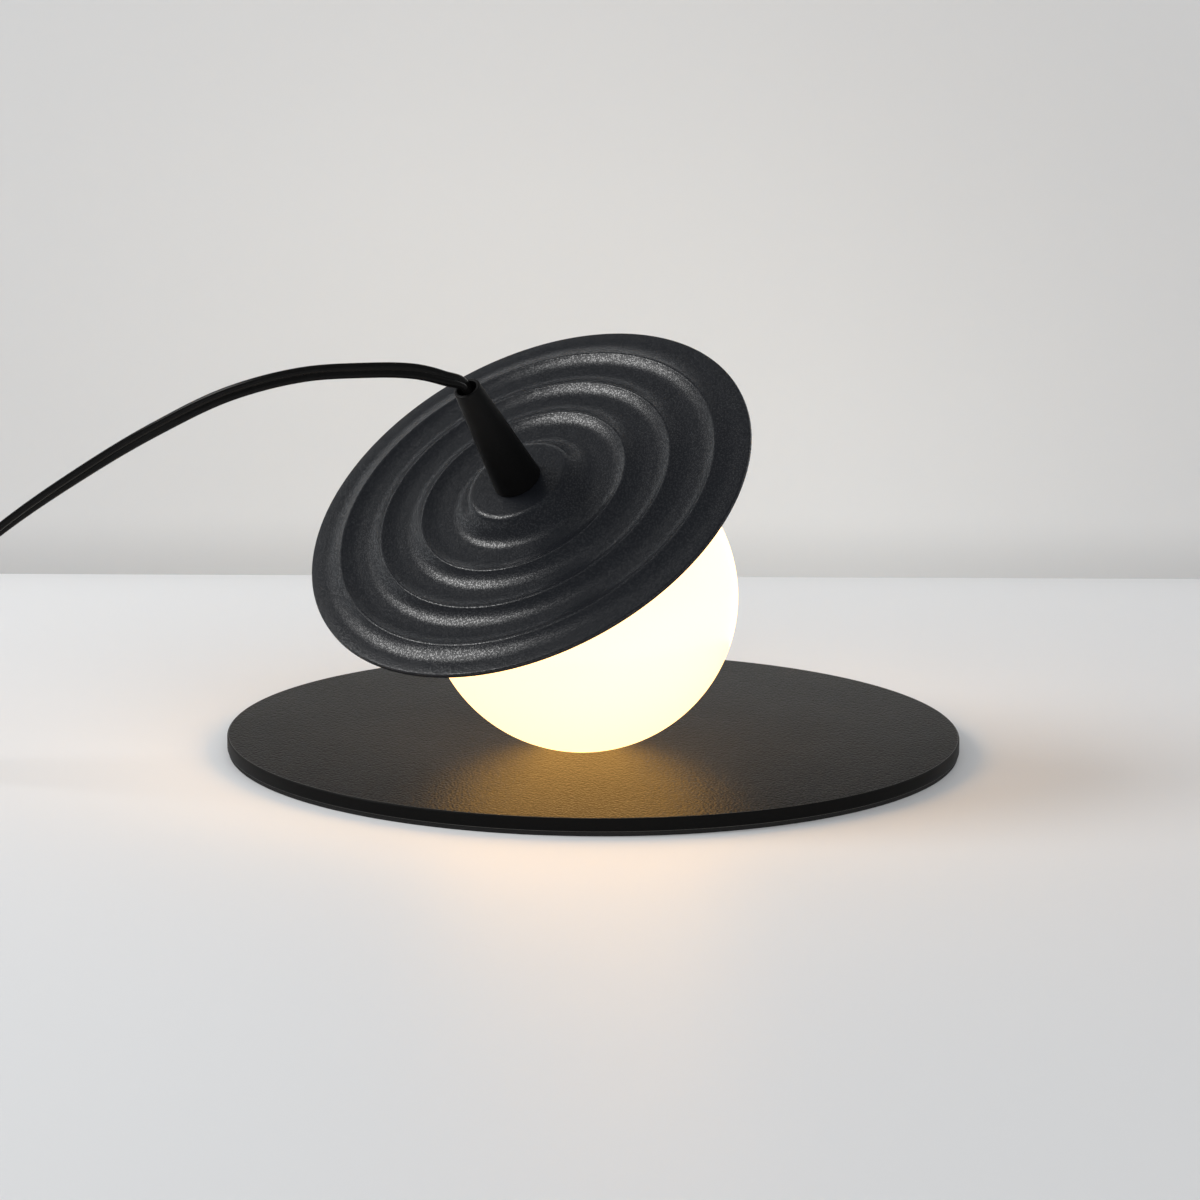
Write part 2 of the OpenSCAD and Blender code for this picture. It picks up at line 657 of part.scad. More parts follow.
module switch_cover() color("#131313") on_switch() {
    side_r = (switch_w * switch_w / 4 + crown * crown) / (2 * crown);
    end_r = (switch_len * switch_len / 4 + crown * crown) / (2 * crown);
    roof = switch_h - crown - switch_wall;
    difference() {
        union() {
            difference() {
                intersection() {
                    translate([0, 0, switch_split]) linear_extrude(switch_h - switch_split) switch_outline(0);
                    translate([-switch_len, 0, switch_h - side_r]) rotate([0, 90, 0])
                        cylinder(r = side_r, h = 2 * switch_len, $fn = 480);
                    translate([0, switch_w, switch_h - end_r]) rotate([90, 0, 0])
                        cylinder(r = end_r, h = 2 * switch_w, $fn = 480);
                }
                translate([0, 0, switch_split - cut]) linear_extrude(roof - switch_split + cut)
                    switch_outline(switch_wall);
            }
            for (s = [-1, 1]) translate([-3, s * (window_w + bearing_t) / 2 - bearing_t / 2, axle_z - 2])
                cube([6, bearing_t, roof - axle_z + 2.5]);
            for (p = screw_at) translate([p[0], p[1], switch_split])
                cylinder(d = post_d, h = roof - switch_split + 0.5);
        }
        translate([0, 0, switch_h]) cube([window_len, window_w, 2 * (switch_h - roof) + cut], center = true);
        translate([0, window_w / 2 + bearing_t, axle_z]) rotate([90, 0, 0])
            cylinder(d = axle_d, h = window_w + 2 * bearing_t);
        for (p = screw_at) translate([p[0], p[1], switch_split - cut])
            cylinder(d = screw_d + 2 * screw_fit, h = 4 + cut);
    }
}

module switch_rocker() color("#1a1a1a") on_switch() {
    half = rocker_len / 2;
    top_h = switch_h - axle_z - 0.8;
    translate([0, 0, axle_z]) rotate([0, rocker_tilt, 0]) rotate([90, 0, 0]) translate([0, 0, -rocker_w / 2])
        linear_extrude(rocker_w) difference() {
            polygon([[-half, top_h], [0, top_h - 1], [half, top_h], [half, top_h - 2.4], [2, -2.1],
                [-2, -2.1], [-half, top_h - 2.4]]);
            circle(d = axle_d + 2 * axle_fit);
        }
}

module rocker_axle() color("#b5b5b0") on_switch() {
    translate([0, window_w / 2 + bearing_t, axle_z]) rotate([90, 0, 0])
        cylinder(d = axle_d, h = window_w + 2 * bearing_t);
}

module switch_leads() color("#0b0b0b") on_switch() {
    for (s = [-1, 1]) translate([s * switch_len / 2, 0, entry_z]) rotate([0, -s * 90, 0])
        linear_extrude(stub_len) rotate(90) cord_outline(0);
}

module switch_terminals() color("#c9a24b") on_switch() {
    terminal_x = switch_len / 2 - stub_len - terminal_w / 2;
    for (s = [-1, 1]) translate([s * terminal_x - terminal_w / 2, -3, switch_floor])
        cube([terminal_w, 6, 3.6]);
}

module switch_contact() color("#c9a24b") on_switch() {
    reach = switch_len / 2 - stub_len;
    translate([-reach, -1.5, switch_floor + 3.6]) cube([2 * reach, 3, 0.6]);
}

module switch_screws() color("#9a9a96") on_switch() {
    for (p = screw_at) translate(p) {
        cylinder(d = 4, h = 1.2);
        translate([0, 0, 1.2]) cylinder(d = screw_d, h = switch_split + 2);
    }
}

// Plug
module rounded_rect(w, h, r) {
    square([w - 2 * r, h], center = true);
    square([w, h - 2 * r], center = true);
    for (x = [-1, 1], y = [-1, 1]) translate([x * (w / 2 - r), y * (h / 2 - r)]) circle(r = r);
}

module plug_relief() color("#0e0e0e") on_plug() {
    rib_t = 2;
    rib_pitch = 4;
    rib_n = floor(relief_len / rib_pitch) - 1;
    difference() {
        union() {
            rotate([90, 0, 90]) linear_extrude(relief_len) rounded_rect(cord_w + 2, cord_t + 2, 2.2);
            for (k = [0 : rib_n]) translate([relief_len - rib_t - k * rib_pitch, 0, 0])
                rotate([90, 0, 90]) linear_extrude(rib_t)
                    rounded_rect(cord_w + 6.4 - 0.9 * k, cord_t + 6 - 0.9 * k, 2.2);
        }
        translate([-cut, 0, 0]) rotate([90, 0, 90])
            linear_extrude(relief_len - 4 + cut) cord_outline(cord_fit);
    }
}

module plug_body() color("#0e0e0e") on_plug() {
    difference() {
        intersection() {
            translate([relief_len, 0, 0]) rotate([90, 0, 90]) linear_extrude(plug_len)
                rounded_rect(plug_w, plug_h, 3.5);
            translate([relief_len + plug_len / 2, 0, -plug_h]) rotate(90)
                linear_extrude(2 * plug_h) rounded_rect(plug_w, plug_len, 4);
        }
        for (s = [-1, 1]) translate([relief_len + plug_len - 8, s * blade_pitch / 2, 0])
            translate([0, -blade_t / 2, -blade_w / 2]) cube([8 + cut, blade_t, blade_w]);
    }
}

module plug_blades() color("#d2d0c8") on_plug() {
    for (s = [-1, 1]) translate([relief_len + plug_len - 8, s * blade_pitch / 2, 0]) difference() {
        translate([0, -blade_t / 2, -blade_w / 2]) cube([8 + blade_len, blade_t, blade_w]);
        translate([8 + blade_len - 4, blade_t, 0]) rotate([90, 0, 0]) cylinder(d = 3, h = 2 * blade_t);
    }
}

base_plate();
base_pad();
seat_ring();
globe();
globe_gasket();
shade_disc();
gallery_ring();
holder_bracket();
bracket_screws();
lampholder_body();
lampholder_contacts();
bulb_cap();
bulb_pins();
bulb_envelope();
bulb_light_strip();
threaded_nipple();
nipple_nut();
lock_washer();
cord_cone();
cord_grip();
cord_in_cone();
holder_leads();
cord_arch();
switch_base();
switch_cover();
switch_rocker();
rocker_axle();
switch_terminals();
switch_contact();
switch_leads();
switch_screws();
cord_run();
cord_coil();
coil_tie();
cord_tail();
plug_relief();
plug_body();
plug_blades();
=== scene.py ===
"""Table lamp: opal globe under a rippled disc shade, leaning in a seat on a flat round base."""

import logging
import math
from dataclasses import dataclass, field
from enum import Enum
from functools import cache
from typing import Callable, Iterable, Sequence

import bmesh
import bpy
from mathutils import Matrix, Vector


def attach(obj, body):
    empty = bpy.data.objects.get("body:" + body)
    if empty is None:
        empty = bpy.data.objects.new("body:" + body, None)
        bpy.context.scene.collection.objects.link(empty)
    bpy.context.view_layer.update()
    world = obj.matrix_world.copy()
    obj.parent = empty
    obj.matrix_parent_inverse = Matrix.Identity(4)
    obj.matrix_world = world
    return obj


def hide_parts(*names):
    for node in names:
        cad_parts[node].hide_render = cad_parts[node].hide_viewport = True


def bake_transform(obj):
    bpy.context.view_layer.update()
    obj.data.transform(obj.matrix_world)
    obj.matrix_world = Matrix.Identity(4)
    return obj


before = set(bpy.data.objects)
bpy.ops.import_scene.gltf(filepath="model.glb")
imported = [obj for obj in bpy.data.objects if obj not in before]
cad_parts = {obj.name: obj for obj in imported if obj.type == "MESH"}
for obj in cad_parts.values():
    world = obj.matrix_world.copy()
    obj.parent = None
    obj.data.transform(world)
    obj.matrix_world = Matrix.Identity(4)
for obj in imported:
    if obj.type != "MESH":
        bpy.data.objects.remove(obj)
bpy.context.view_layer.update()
LOG = logging.getLogger("table_lamp")
MM = 0.001
TINY = 1e-6

Point = tuple[float, float]
Triple = tuple[float, float, float]
Colour = tuple[float, float, float]
Ring = tuple[Vector, Vector, float]

PEBBLE_SMOOTH = 0.6
PEBBLE_FINE = 0.7
PEBBLE_DOME = 0.65
PEBBLE_EDGE: Point = (0.5, 0.78)
PEBBLE_BROAD = 0.02
FADE_CLOUD = 0.08
DUST_COLOUR: Colour = (0.55, 0.54, 0.52)


class Body(Enum):
    """The moving bodies that a piece can ride on."""

    BASE = "base"
    LEAD = "lead_set"
    HEAD = "head"
    ROCKER = "rocker"


class Lay(Enum):
    """How a stretch of cord lies."""

    HANGING = "hanging"
    COILED = "coiled"


class Edge(Enum):
    """Largest angle, in degrees, that still shades as one smooth face."""

    SOFT = 50.0
    CRISP = 28.0


def mm(*values: float) -> Vector:
    """Return a point given in millimetres as one in metres."""
    return Vector(values) * MM


def smooth_step(u: float) -> float:
    """Return u eased between 0 and 1."""
    u = min(max(u, 0.0), 1.0)
    return u * u * (3 - 2 * u)


class Graph:
    """A node tree that is filled by short calls."""

    def __init__(self, tree: bpy.types.NodeTree) -> None:
        """Start on an empty tree."""
        self.tree = tree
        tree.nodes.clear()

    def add(self, kind: str, inputs: dict | None = None, **settings: object) -> bpy.types.Node:
        """Add a node, set its properties and fill its inputs.

        Args:
            kind: Blender's name of the node type, without its ShaderNode prefix.
            inputs: Values or output sockets, by socket name or index.
            settings: Properties of the node itself.

        Returns:
            The new node.
        """
        name = kind if kind.startswith("Node") else "ShaderNode" + kind
        node = self.tree.nodes.new(name)
        for key, value in settings.items():
            setattr(node, key, value)
        for key, value in (inputs or {}).items():
            self.feed(node.inputs[key], value)
        return node

    def feed(self, socket: bpy.types.NodeSocket, value: object) -> None:
        """Link an output to a socket, or set the socket's own value."""
        if isinstance(value, bpy.types.NodeSocket):
            self.tree.links.new(value, socket)
        else:
            socket.default_value = value

    def math(self, operation: str, *values: object) -> bpy.types.NodeSocket:
        """Add a Math node and return its output."""
        return self.add("Math", dict(enumerate(values)), operation=operation).outputs[0]

    def span(self, value: object, low: float, high: float) -> bpy.types.NodeSocket:
        """Return a 0 to 1 value stretched over a range."""
        node = self.add("MapRange", {"Value": value, "To Min": low, "To Max": high})
        return node.outputs["Result"]

    def mix(self, share: object, first: object, second: object) -> bpy.types.NodeSocket:
        """Mix two colours.

        Args:
            share: Share of the second colour.
            first: First colour.
            second: Second colour.

        Returns:
            The mixed colour's socket.
        """
        node = self.add("Mix", {"Factor": share}, data_type="RGBA")
        self.feed(node.inputs[6], first)
        self.feed(node.inputs[7], second)
        return node.outputs[2]


@dataclass(frozen=True)
class Effect:
    """A shader node group that several finishes share.

    Attributes:
        name: Name of the group.
        inputs: Names and first values of its number inputs, after the vector.
        outputs: Names of its number outputs.
        fill: Function that fills the group and returns a socket for each output.
    """

    name: str
    inputs: tuple[tuple[str, float], ...]
    outputs: tuple[str, ...]
    fill: Callable[[Graph, bpy.types.Node], Sequence[bpy.types.NodeSocket]]

    def group(self) -> bpy.types.NodeTree:
        """Build the node group on first use.

        Returns:
            The node group.
        """
        found = bpy.data.node_groups.get(self.name)
        if found:
            return found
        tree = bpy.data.node_groups.new(self.name, "ShaderNodeTree")
        tree.interface.new_socket("Vector", in_out="INPUT", socket_type="NodeSocketVector")
        for name, value in self.inputs:
            socket = tree.interface.new_socket(name, in_out="INPUT", socket_type="NodeSocketFloat")
            socket.default_value = value
        for name in self.outputs:
            tree.interface.new_socket(name, in_out="OUTPUT", socket_type="NodeSocketFloat")
        graph = Graph(tree)
        made = self.fill(graph, graph.add("NodeGroupInput"))
        graph.add("NodeGroupOutput", dict(zip(self.outputs, made)))
        return tree

    def place(self, graph: Graph, vector: bpy.types.NodeSocket, **values: float) -> bpy.types.Node:
        """Place the group in a material.

        Args:
            graph: The material's nodes.
            vector: Coordinates that the effect follows.
            values: The group's inputs, by name.

        Returns:
            The group's node.
        """
        return graph.add("Group", {"Vector": vector, **values}, node_tree=self.group())


def fill_pebble(graph: Graph, inside: bpy.types.Node) -> Sequence[bpy.types.NodeSocket]:
    """Fill the pebble effect: small rounded bumps with dark seams between them.

    Args:
        graph: The group's nodes.
        inside: The group's input node.

    Returns:
        The height, the bumps' crisp tops and a broad unevenness.
    """
    vector, scale = inside.outputs["Vector"], inside.outputs["Scale"]
    cells = graph.add("TexVoronoi", {"Vector": vector, "Scale": scale, "Smoothness": PEBBLE_SMOOTH},
                      feature="SMOOTH_F1")
    fine = graph.add("TexNoise", {"Vector": vector, "Scale": graph.math("MULTIPLY", scale, PEBBLE_FINE),
                                  "Detail": 3.0, "Roughness": 0.6})
    dome = graph.math("SUBTRACT", 1.0, cells.outputs["Distance"])
    height = graph.math("ADD", graph.math("MULTIPLY", dome, PEBBLE_DOME),
                        graph.math("MULTIPLY", fine.outputs[0], inside.outputs["Unevenness"]))
    crisp = graph.add("MapRange", {"Value": dome, "From Min": PEBBLE_EDGE[0], "From Max": PEBBLE_EDGE[1]},
                      interpolation_type="SMOOTHSTEP")
    broad = graph.add("TexNoise", {"Vector": vector, "Scale": graph.math("MULTIPLY", scale, PEBBLE_BROAD),
                                   "Detail": 2.0})
    return height, crisp.outputs["Result"], broad.outputs[0]


def fill_dust(graph: Graph, inside: bpy.types.Node) -> Sequence[bpy.types.NodeSocket]:
    """Fill the dust effect: a thin uneven film."""
    film = graph.add("TexNoise", {"Vector": inside.outputs["Vector"], "Scale": 28.0, "Detail": 5.0,
                                  "Roughness": 0.62})
    return (graph.math("MULTIPLY", film.outputs[0], inside.outputs["Film"]),)


def fill_fade(graph: Graph, inside: bpy.types.Node) -> Sequence[bpy.types.NodeSocket]:
    """Fill the fading effect: a share that falls off round the origin, and a soft cloud.

    Args:
        graph: The group's nodes.
        inside: The group's input node.

    Returns:
        The share and the cloud.
    """
    vector = inside.outputs["Vector"]
    away = graph.add("VectorMath", {0: vector}, operation="LENGTH").outputs["Value"]
    near = graph.add("MapRange", {"Value": away, "From Min": inside.outputs["Near"],
                                  "From Max": inside.outputs["Far"], "To Min": 1.0, "To Max": 0.0},
                     interpolation_type="SMOOTHSTEP")
    cloud = graph.add("TexNoise", {"Vector": vector, "Scale": inside.outputs["Scale"], "Detail": 3.0})
    even = graph.math("ADD", graph.math("MULTIPLY", near.outputs["Result"], 1 - FADE_CLOUD),
                      graph.math("MULTIPLY", cloud.outputs[0], FADE_CLOUD))
    return even, cloud.outputs[0]


def fill_brush(graph: Graph, inside: bpy.types.Node) -> Sequence[bpy.types.NodeSocket]:
    """Fill the brushed effect: fine streaks along one way.

    Args:
        graph: The group's nodes.
        inside: The group's input node.

    Returns:
        The streaks and their height.
    """
    stretched = graph.add("Mapping", {"Vector": inside.outputs["Vector"], "Scale": (900.0, 900.0, 60.0)})
    streak = graph.add("TexNoise", {"Vector": stretched.outputs[0], "Scale": 1.0, "Detail": 4.0})
    return streak.outputs[0], graph.math("MULTIPLY", streak.outputs[0], inside.outputs["Depth"])


PEBBLE = Effect("pebble", (("Scale", 900.0), ("Unevenness", 0.35)), ("Height", "Dome", "Broad"),
                fill_pebble)
DUST = Effect("dust", (("Film", 0.05),), ("Mask",), fill_dust)
BRUSH = Effect("brushed", (("Depth", 0.3),), ("Streak", "Height"), fill_brush)
FADE = Effect("fade", (("Near", 0.0), ("Far", 0.1), ("Scale", 35.0)), ("Share", "Cloud"), fill_fade)


def new_material(name: str) -> tuple[bpy.types.Material, Graph, bpy.types.NodeSocket]:
    """Make an empty material.

    Args:
        name: Name of the finish.

    Returns:
        The material, its nodes and its Object coordinates.
    """
    material = bpy.data.materials.new(name)
    material.use_nodes = True
    graph = Graph(material.node_tree)
    return material, graph, graph.add("TexCoord").outputs["Object"]


def close_material(graph: Graph, shader: bpy.types.Node) -> None:
    """Lead a shader to the material's output."""
    graph.add("OutputMaterial", {"Surface": shader.outputs[0]})


def shift(graph: Graph, vector: bpy.types.NodeSocket, origin: Sequence[float]) -> bpy.types.NodeSocket:
    """Return coordinates measured from another origin."""
    return graph.add("VectorMath", {0: vector, 1: tuple(origin)}, operation="SUBTRACT").outputs[0]


@dataclass(frozen=True)
class Coat:
    """An opaque paint, plastic or rubber with a fine pebble and a little dust.

    Attributes:
        name: Name of the finish.
        dark: Colour in the seams.
        light: Colour on the bumps.
        rough: Lowest and highest roughness.
        grain: Bumps per metre.
        depth: Height of the bumps, in metres.
        relief: Strength of the bumps.
        specular: Specular level.
        film: Share of dust film.
        coat: Least and largest weight of a clear coat, in the seams and on the bumps.
        coat_rough: Roughness of the clear coat.
        sheen: Weight of a soft sheen.
        uneven: Share of finer noise in the bumps.
    """

    name: str
    dark: Colour
    light: Colour
    rough: Point
    grain: float = 900.0
    depth: float = 0.00004
    relief: float = 0.4
    specular: float = 0.5
    film: float = 0.03
    coat: Point = (0.0, 0.0)
    coat_rough: float = 0.12
    sheen: float = 0.0
    uneven: float = 0.35

    def material(self) -> bpy.types.Material:
        """Build the finish.

        Returns:
            The material.
        """
        material, graph, place = new_material(self.name)
        pebble = PEBBLE.place(graph, place, Scale=self.grain, Unevenness=self.uneven)
        dust = DUST.place(graph, place, Film=self.film)
        height = graph.span(pebble.outputs["Height"], 0.0, 1.0)
        paint = graph.mix(height, (*self.dark, 1.0), (*self.light, 1.0))
        dusty = graph.mix(dust.outputs["Mask"], paint, (*DUST_COLOUR, 1.0))
        bump = graph.add("Bump", {"Height": pebble.outputs["Height"], "Strength": self.relief,
                                  "Distance": self.depth})
        even = self.coat[0] == self.coat[1]
        coat = self.coat[0] if even else graph.span(pebble.outputs["Dome"], *self.coat)
        shader = graph.add("BsdfPrincipled", {
            "Base Color": dusty, "Roughness": graph.span(pebble.outputs["Broad"], *self.rough),
            "Normal": bump.outputs[0], "Specular IOR Level": self.specular, "Coat Weight": coat,
            "Coat Roughness": self.coat_rough, "Sheen Weight": self.sheen})
        close_material(graph, shader)
        return material


@dataclass(frozen=True)
class Metal:
    """A bare brushed metal.

    Attributes:
        name: Name of the finish.
        colour: Colour of the metal.
        rough: Lowest and highest roughness.
        dull: Brightness of the dull streaks, as a share of the colour.
        streak: Depth of the streaks.
        relief: Strength of the relief.
        depth: Height of the relief, in metres.
    """

    name: str
    colour: Colour
    rough: Point = (0.22, 0.42)
    dull: float = 0.72
    streak: float = 0.4
    relief: float = 0.15
    depth: float = 0.00003

    def material(self) -> bpy.types.Material:
        """Build the finish.

        Returns:
            The material.
        """
        material, graph, place = new_material(self.name)
        brush = BRUSH.place(graph, place, Depth=self.streak)
        dull = tuple(self.dull * c for c in self.colour)
        tone = graph.mix(brush.outputs["Streak"], (*dull, 1.0), (*self.colour, 1.0))
        bump = graph.add("Bump", {"Height": brush.outputs["Height"], "Strength": self.relief,
                                  "Distance": self.depth})
        shader = graph.add("BsdfPrincipled", {
            "Base Color": tone, "Metallic": 1.0, "Normal": bump.outputs[0],
            "Roughness": graph.span(brush.outputs["Streak"], *self.rough)})
        close_material(graph, shader)
        return material


@dataclass(frozen=True)
class LitOpal:
    """Opal glass or a frosted cover that glows.

    Attributes:
        name: Name of the finish.
        body: Colour of the glass itself.
        glow_low: Colour of the light where the glass is furthest from the bulb.
        glow_high: Colour of the light next to the bulb.
        bulb: Place of the bulb's middle, in metres.
        reach: Distance over which the light changes, in metres.
        throw: How much brighter, in each colour, the glass lights other things than it looks itself.
        rough: Lowest and highest roughness.
    """

    name: str
    body: Colour
    glow_low: Colour
    glow_high: Colour
    bulb: Triple
    reach: Point
    throw: Colour = (1.0, 1.0, 1.0)
    rough: Point = (0.16, 0.26)

    def material(self) -> bpy.types.Material:
        """Build the finish.

        Returns:
            The material.
        """
        material, graph, place = new_material(self.name)
        near, far = self.reach
        fade = FADE.place(graph, shift(graph, place, self.bulb), Near=near, Far=far)
        seen = graph.mix(fade.outputs["Share"], (*self.glow_low, 1.0), (*self.glow_high, 1.0))
        thrown = graph.add("VectorMath", {0: seen, 1: self.throw}, operation="MULTIPLY").outputs[0]
        light = graph.mix(graph.add("LightPath").outputs["Is Camera Ray"], thrown, seen)
        shader = graph.add("BsdfPrincipled", {
            "Base Color": (*self.body, 1.0), "Emission Color": light, "Emission Strength": 1.0,
            "Roughness": graph.span(fade.outputs["Cloud"], *self.rough)})
        close_material(graph, shader)
        return material


PLATE_PAINT = Coat("plate_paint", (0.003, 0.0029, 0.0027), (0.01, 0.0096, 0.009), (0.3, 0.36),
                   grain=1000.0, depth=0.0004, relief=0.9, specular=0.02, film=0.003)
PLATE_SIDE = Coat("plate_side", (0.003, 0.003, 0.003), (0.006, 0.006, 0.006), (0.45, 0.55), grain=2400.0,
                  depth=0.00002, relief=0.2, specular=0.05, film=0.001)
# Painted highlight: a much lighter paint for the thin rounded edges at the top of the chamfer and at the
# plate's foot.
PLATE_PAINTED_HIGHLIGHT = Coat("plate_painted_highlight", (0.05, 0.048, 0.045), (0.09, 0.087, 0.08), (0.4, 0.5), grain=1800.0,
                  depth=0.00002, relief=0.2, specular=0.3, film=0.004)
SHADE_COAT = Coat("shade_coat", (0.0063, 0.0073, 0.0096), (0.0096, 0.0111, 0.0143), (0.3, 0.36),
                  grain=1500.0, depth=0.0001, relief=0.8, specular=0.13, film=0.0015, coat=(0.1, 1.0),
                  coat_rough=0.24, uneven=0.12)
CONE_PLASTIC = Coat("cone_plastic", (0.002, 0.002, 0.002), (0.004, 0.004, 0.0042), (0.42, 0.5),
                    grain=2600.0, depth=0.00003, relief=0.25, specular=0.12, film=0.001)
CORD_VINYL = Coat("cord_vinyl", (0.002, 0.002, 0.002), (0.005, 0.005, 0.005), (0.14, 0.2), grain=700.0,
                  depth=0.00003, relief=0.1, specular=0.1, film=0.001)
PAD_RUBBER = Coat("pad_rubber", (0.006, 0.006, 0.006), (0.014, 0.014, 0.014), (0.75, 0.9), grain=1400.0,
                  depth=0.0002, relief=0.6, specular=0.25, film=0.02)
SEAT_RUBBER = Coat("seat_rubber", (0.006, 0.006, 0.006), (0.011, 0.011, 0.011), (0.6, 0.75), specular=0.3)
SILICONE = Coat("silicone", (0.62, 0.6, 0.55), (0.72, 0.7, 0.64), (0.45, 0.55), relief=0.15)
SWITCH_PLASTIC = Coat("switch_plastic", (0.008, 0.008, 0.008), (0.016, 0.016, 0.016), (0.42, 0.55),
                      grain=1900.0, depth=0.00006, relief=0.45, specular=0.4, film=0.01)
ROCKER_PLASTIC = Coat("rocker_plastic", (0.007, 0.007, 0.007), (0.011, 0.011, 0.011), (0.22, 0.3),
                      relief=0.1)
PLUG_VINYL = Coat("plug_vinyl", (0.006, 0.006, 0.006), (0.012, 0.012, 0.012), (0.38, 0.5), grain=1700.0,
                  depth=0.00005, relief=0.35, film=0.01)
TIE_STRAP = Coat("tie_strap", (0.006, 0.006, 0.006), (0.022, 0.022, 0.022), (0.7, 0.85), grain=1300.0,
                 depth=0.0003, relief=0.8, specular=0.2, sheen=0.2)
NYLON = Coat("nylon", (0.5, 0.47, 0.4), (0.62, 0.59, 0.5), (0.35, 0.45), relief=0.15)
CERAMIC = Coat("ceramic", (0.68, 0.66, 0.6), (0.8, 0.78, 0.72), (0.2, 0.32), relief=0.12, coat=(0.4, 0.5))
LEAD_WIRE = Coat("lead_wire", (0.25, 0.03, 0.015), (0.34, 0.05, 0.025), (0.3, 0.4), relief=0.1)
ZINC = Metal("zinc", (0.6, 0.6, 0.58))
BRASS = Metal("brass", (0.78, 0.57, 0.25))
BLADE_NICKEL = Metal("blade_nickel", (0.68, 0.66, 0.62), (0.18, 0.3))


def face_out(mesh: bmesh.types.BMesh, tiny: float = 1e-7) -> None:
    """Merge doubled points and turn all faces outwards."""
    bmesh.ops.remove_doubles(mesh, verts=mesh.verts[:], dist=tiny)
    bmesh.ops.recalc_face_normals(mesh, faces=mesh.faces[:])


def lathe(profile: Sequence[Point], steps: int, closed: bool = True) -> bmesh.types.BMesh:
    """Spin an outline round the Z axis.

    Args:
        profile: Radius and height of each point, in millimetres.
        steps: Steps in the full turn.
        closed: Whether the last point joins the first.

    Returns:
        The spun mesh, in metres.
    """
    mesh = bmesh.new()
    points = [mesh.verts.new(mm(r, 0.0, z)) for r, z in profile]
    pairs = list(zip(points, points[1:])) + ([(points[-1], points[0])] if closed else [])
    edges = [mesh.edges.new(pair) for pair in pairs]
    bmesh.ops.spin(mesh, geom=points + edges, cent=(0, 0, 0), axis=(0, 0, 1), angle=2 * math.pi,
                   steps=steps, use_merge=True)
    face_out(mesh)
    return mesh


def bevel_edges(mesh: bmesh.types.BMesh, edges: Iterable[bmesh.types.BMEdge], width: float,
                segments: int) -> None:
    """Round edges over by a width in metres."""
    bmesh.ops.bevel(mesh, geom=list(edges), offset=width, segments=segments, profile=0.5, affect="EDGES",
                    material=-1)


def extrude_rim(mesh: bmesh.types.BMesh, edges: list) -> tuple[list, list]:
    """Extrude a line of edges without moving it.

    Args:
        mesh: The mesh to grow.
        edges: The line's edges.

    Returns:
        The new line's points and edges.
    """
    grown = bmesh.ops.extrude_edge_only(mesh, edges=edges)["geom"]
    points = {g for g in grown if isinstance(g, bmesh.types.BMVert)}
    lines = [g for g in grown if isinstance(g, bmesh.types.BMEdge)]
    return list(points), [e for e in lines if all(v in points for v in e.verts)]


def draw_out(mesh: bmesh.types.BMesh, way: Vector) -> None:
    """Extrude a flat mesh into a closed body.

    Args:
        mesh: The flat mesh.
        way: Which way and how far it goes, in metres.
    """
    grown = bmesh.ops.extrude_face_region(mesh, geom=mesh.faces[:])["geom"]
    points = [g for g in grown if isinstance(g, bmesh.types.BMVert)]
    bmesh.ops.translate(mesh, vec=way, verts=points)
    face_out(mesh)


def curve_points(a: Point, b: Point, c: Point, count: int) -> list[Point]:
    """Lay points on a curve.

    Args:
        a: Start, which is left out.
        b: Point that both ends head for.
        c: End.
        count: Number of points.

    Returns:
        The points.
    """
    made = []
    for k in range(1, count + 1):
        u = k / count
        made.append(tuple((1 - u) ** 2 * p + 2 * u * (1 - u) * q + u * u * r for p, q, r in zip(a, b, c)))
    return made


def arc_points(centre: Point, radius: float, start: float, end: float, count: int) -> list[Point]:
    """Return points on an arc, ends included, with angles in degrees."""
    turns = [math.radians(start + (end - start) * k / count) for k in range(count + 1)]
    return [(centre[0] + radius * math.cos(t), centre[1] + radius * math.sin(t)) for t in turns]


def finish_piece(name: str, mesh: bmesh.types.BMesh, material: bpy.types.Material, edge: Edge,
                 place: Matrix | None = None,
                 others: Sequence[bpy.types.Material] = ()) -> bpy.types.Object:
    """Make an object from a mesh, with its place in the mesh.

    Args:
        name: Name of the piece.
        mesh: The built mesh, which is freed.
        material: Its finish.
        edge: How sharp an edge still shades smoothly.
        place: Where the mesh goes.
        others: Finishes of the faces with higher material numbers.

    Returns:
        The finished piece.
    """
    if place is not None:
        bmesh.ops.transform(mesh, matrix=place, verts=mesh.verts[:])
    data = bpy.data.meshes.new(name)
    for face in mesh.faces:
        face.smooth = True
    mesh.to_mesh(data)
    mesh.free()
    data.set_sharp_from_angle(angle=math.radians(edge.value))
    for finish in (material, *others):
        data.materials.append(finish)
    piece = bpy.data.objects.new(name, data)
    bpy.context.scene.collection.objects.link(piece)
    LOG.info("built %s with %d faces", name, len(data.polygons))
    return piece


def settle(piece: bpy.types.Object, body: Body, slot: str, *nodes: str) -> None:
    """Let a piece ride on a body and stand for CAD nodes.

    Args:
        piece: The finished piece.
        body: Body that it rides on.
        slot: Its material slot; not used.
        nodes: CAD nodes that it stands for.
    """
    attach(piece, body.value)
    if nodes:
        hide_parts(*nodes)


@cache
def stock(finish: Coat | Metal | LitOpal) -> bpy.types.Material:
    """Return a finish's material, built on first use."""
    return finish.material()


def dress(finish: Coat | Metal | LitOpal, *nodes: str) -> None:
    """Give CAD nodes a finish.

    Args:
        finish: The finish.
        nodes: Names of the nodes.
    """
    material = stock(finish)
    for name in nodes:
        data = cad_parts[name].data
        data.materials.clear()
        data.materials.append(material)
        LOG.info("dressed %s with %s", name, finish.name)


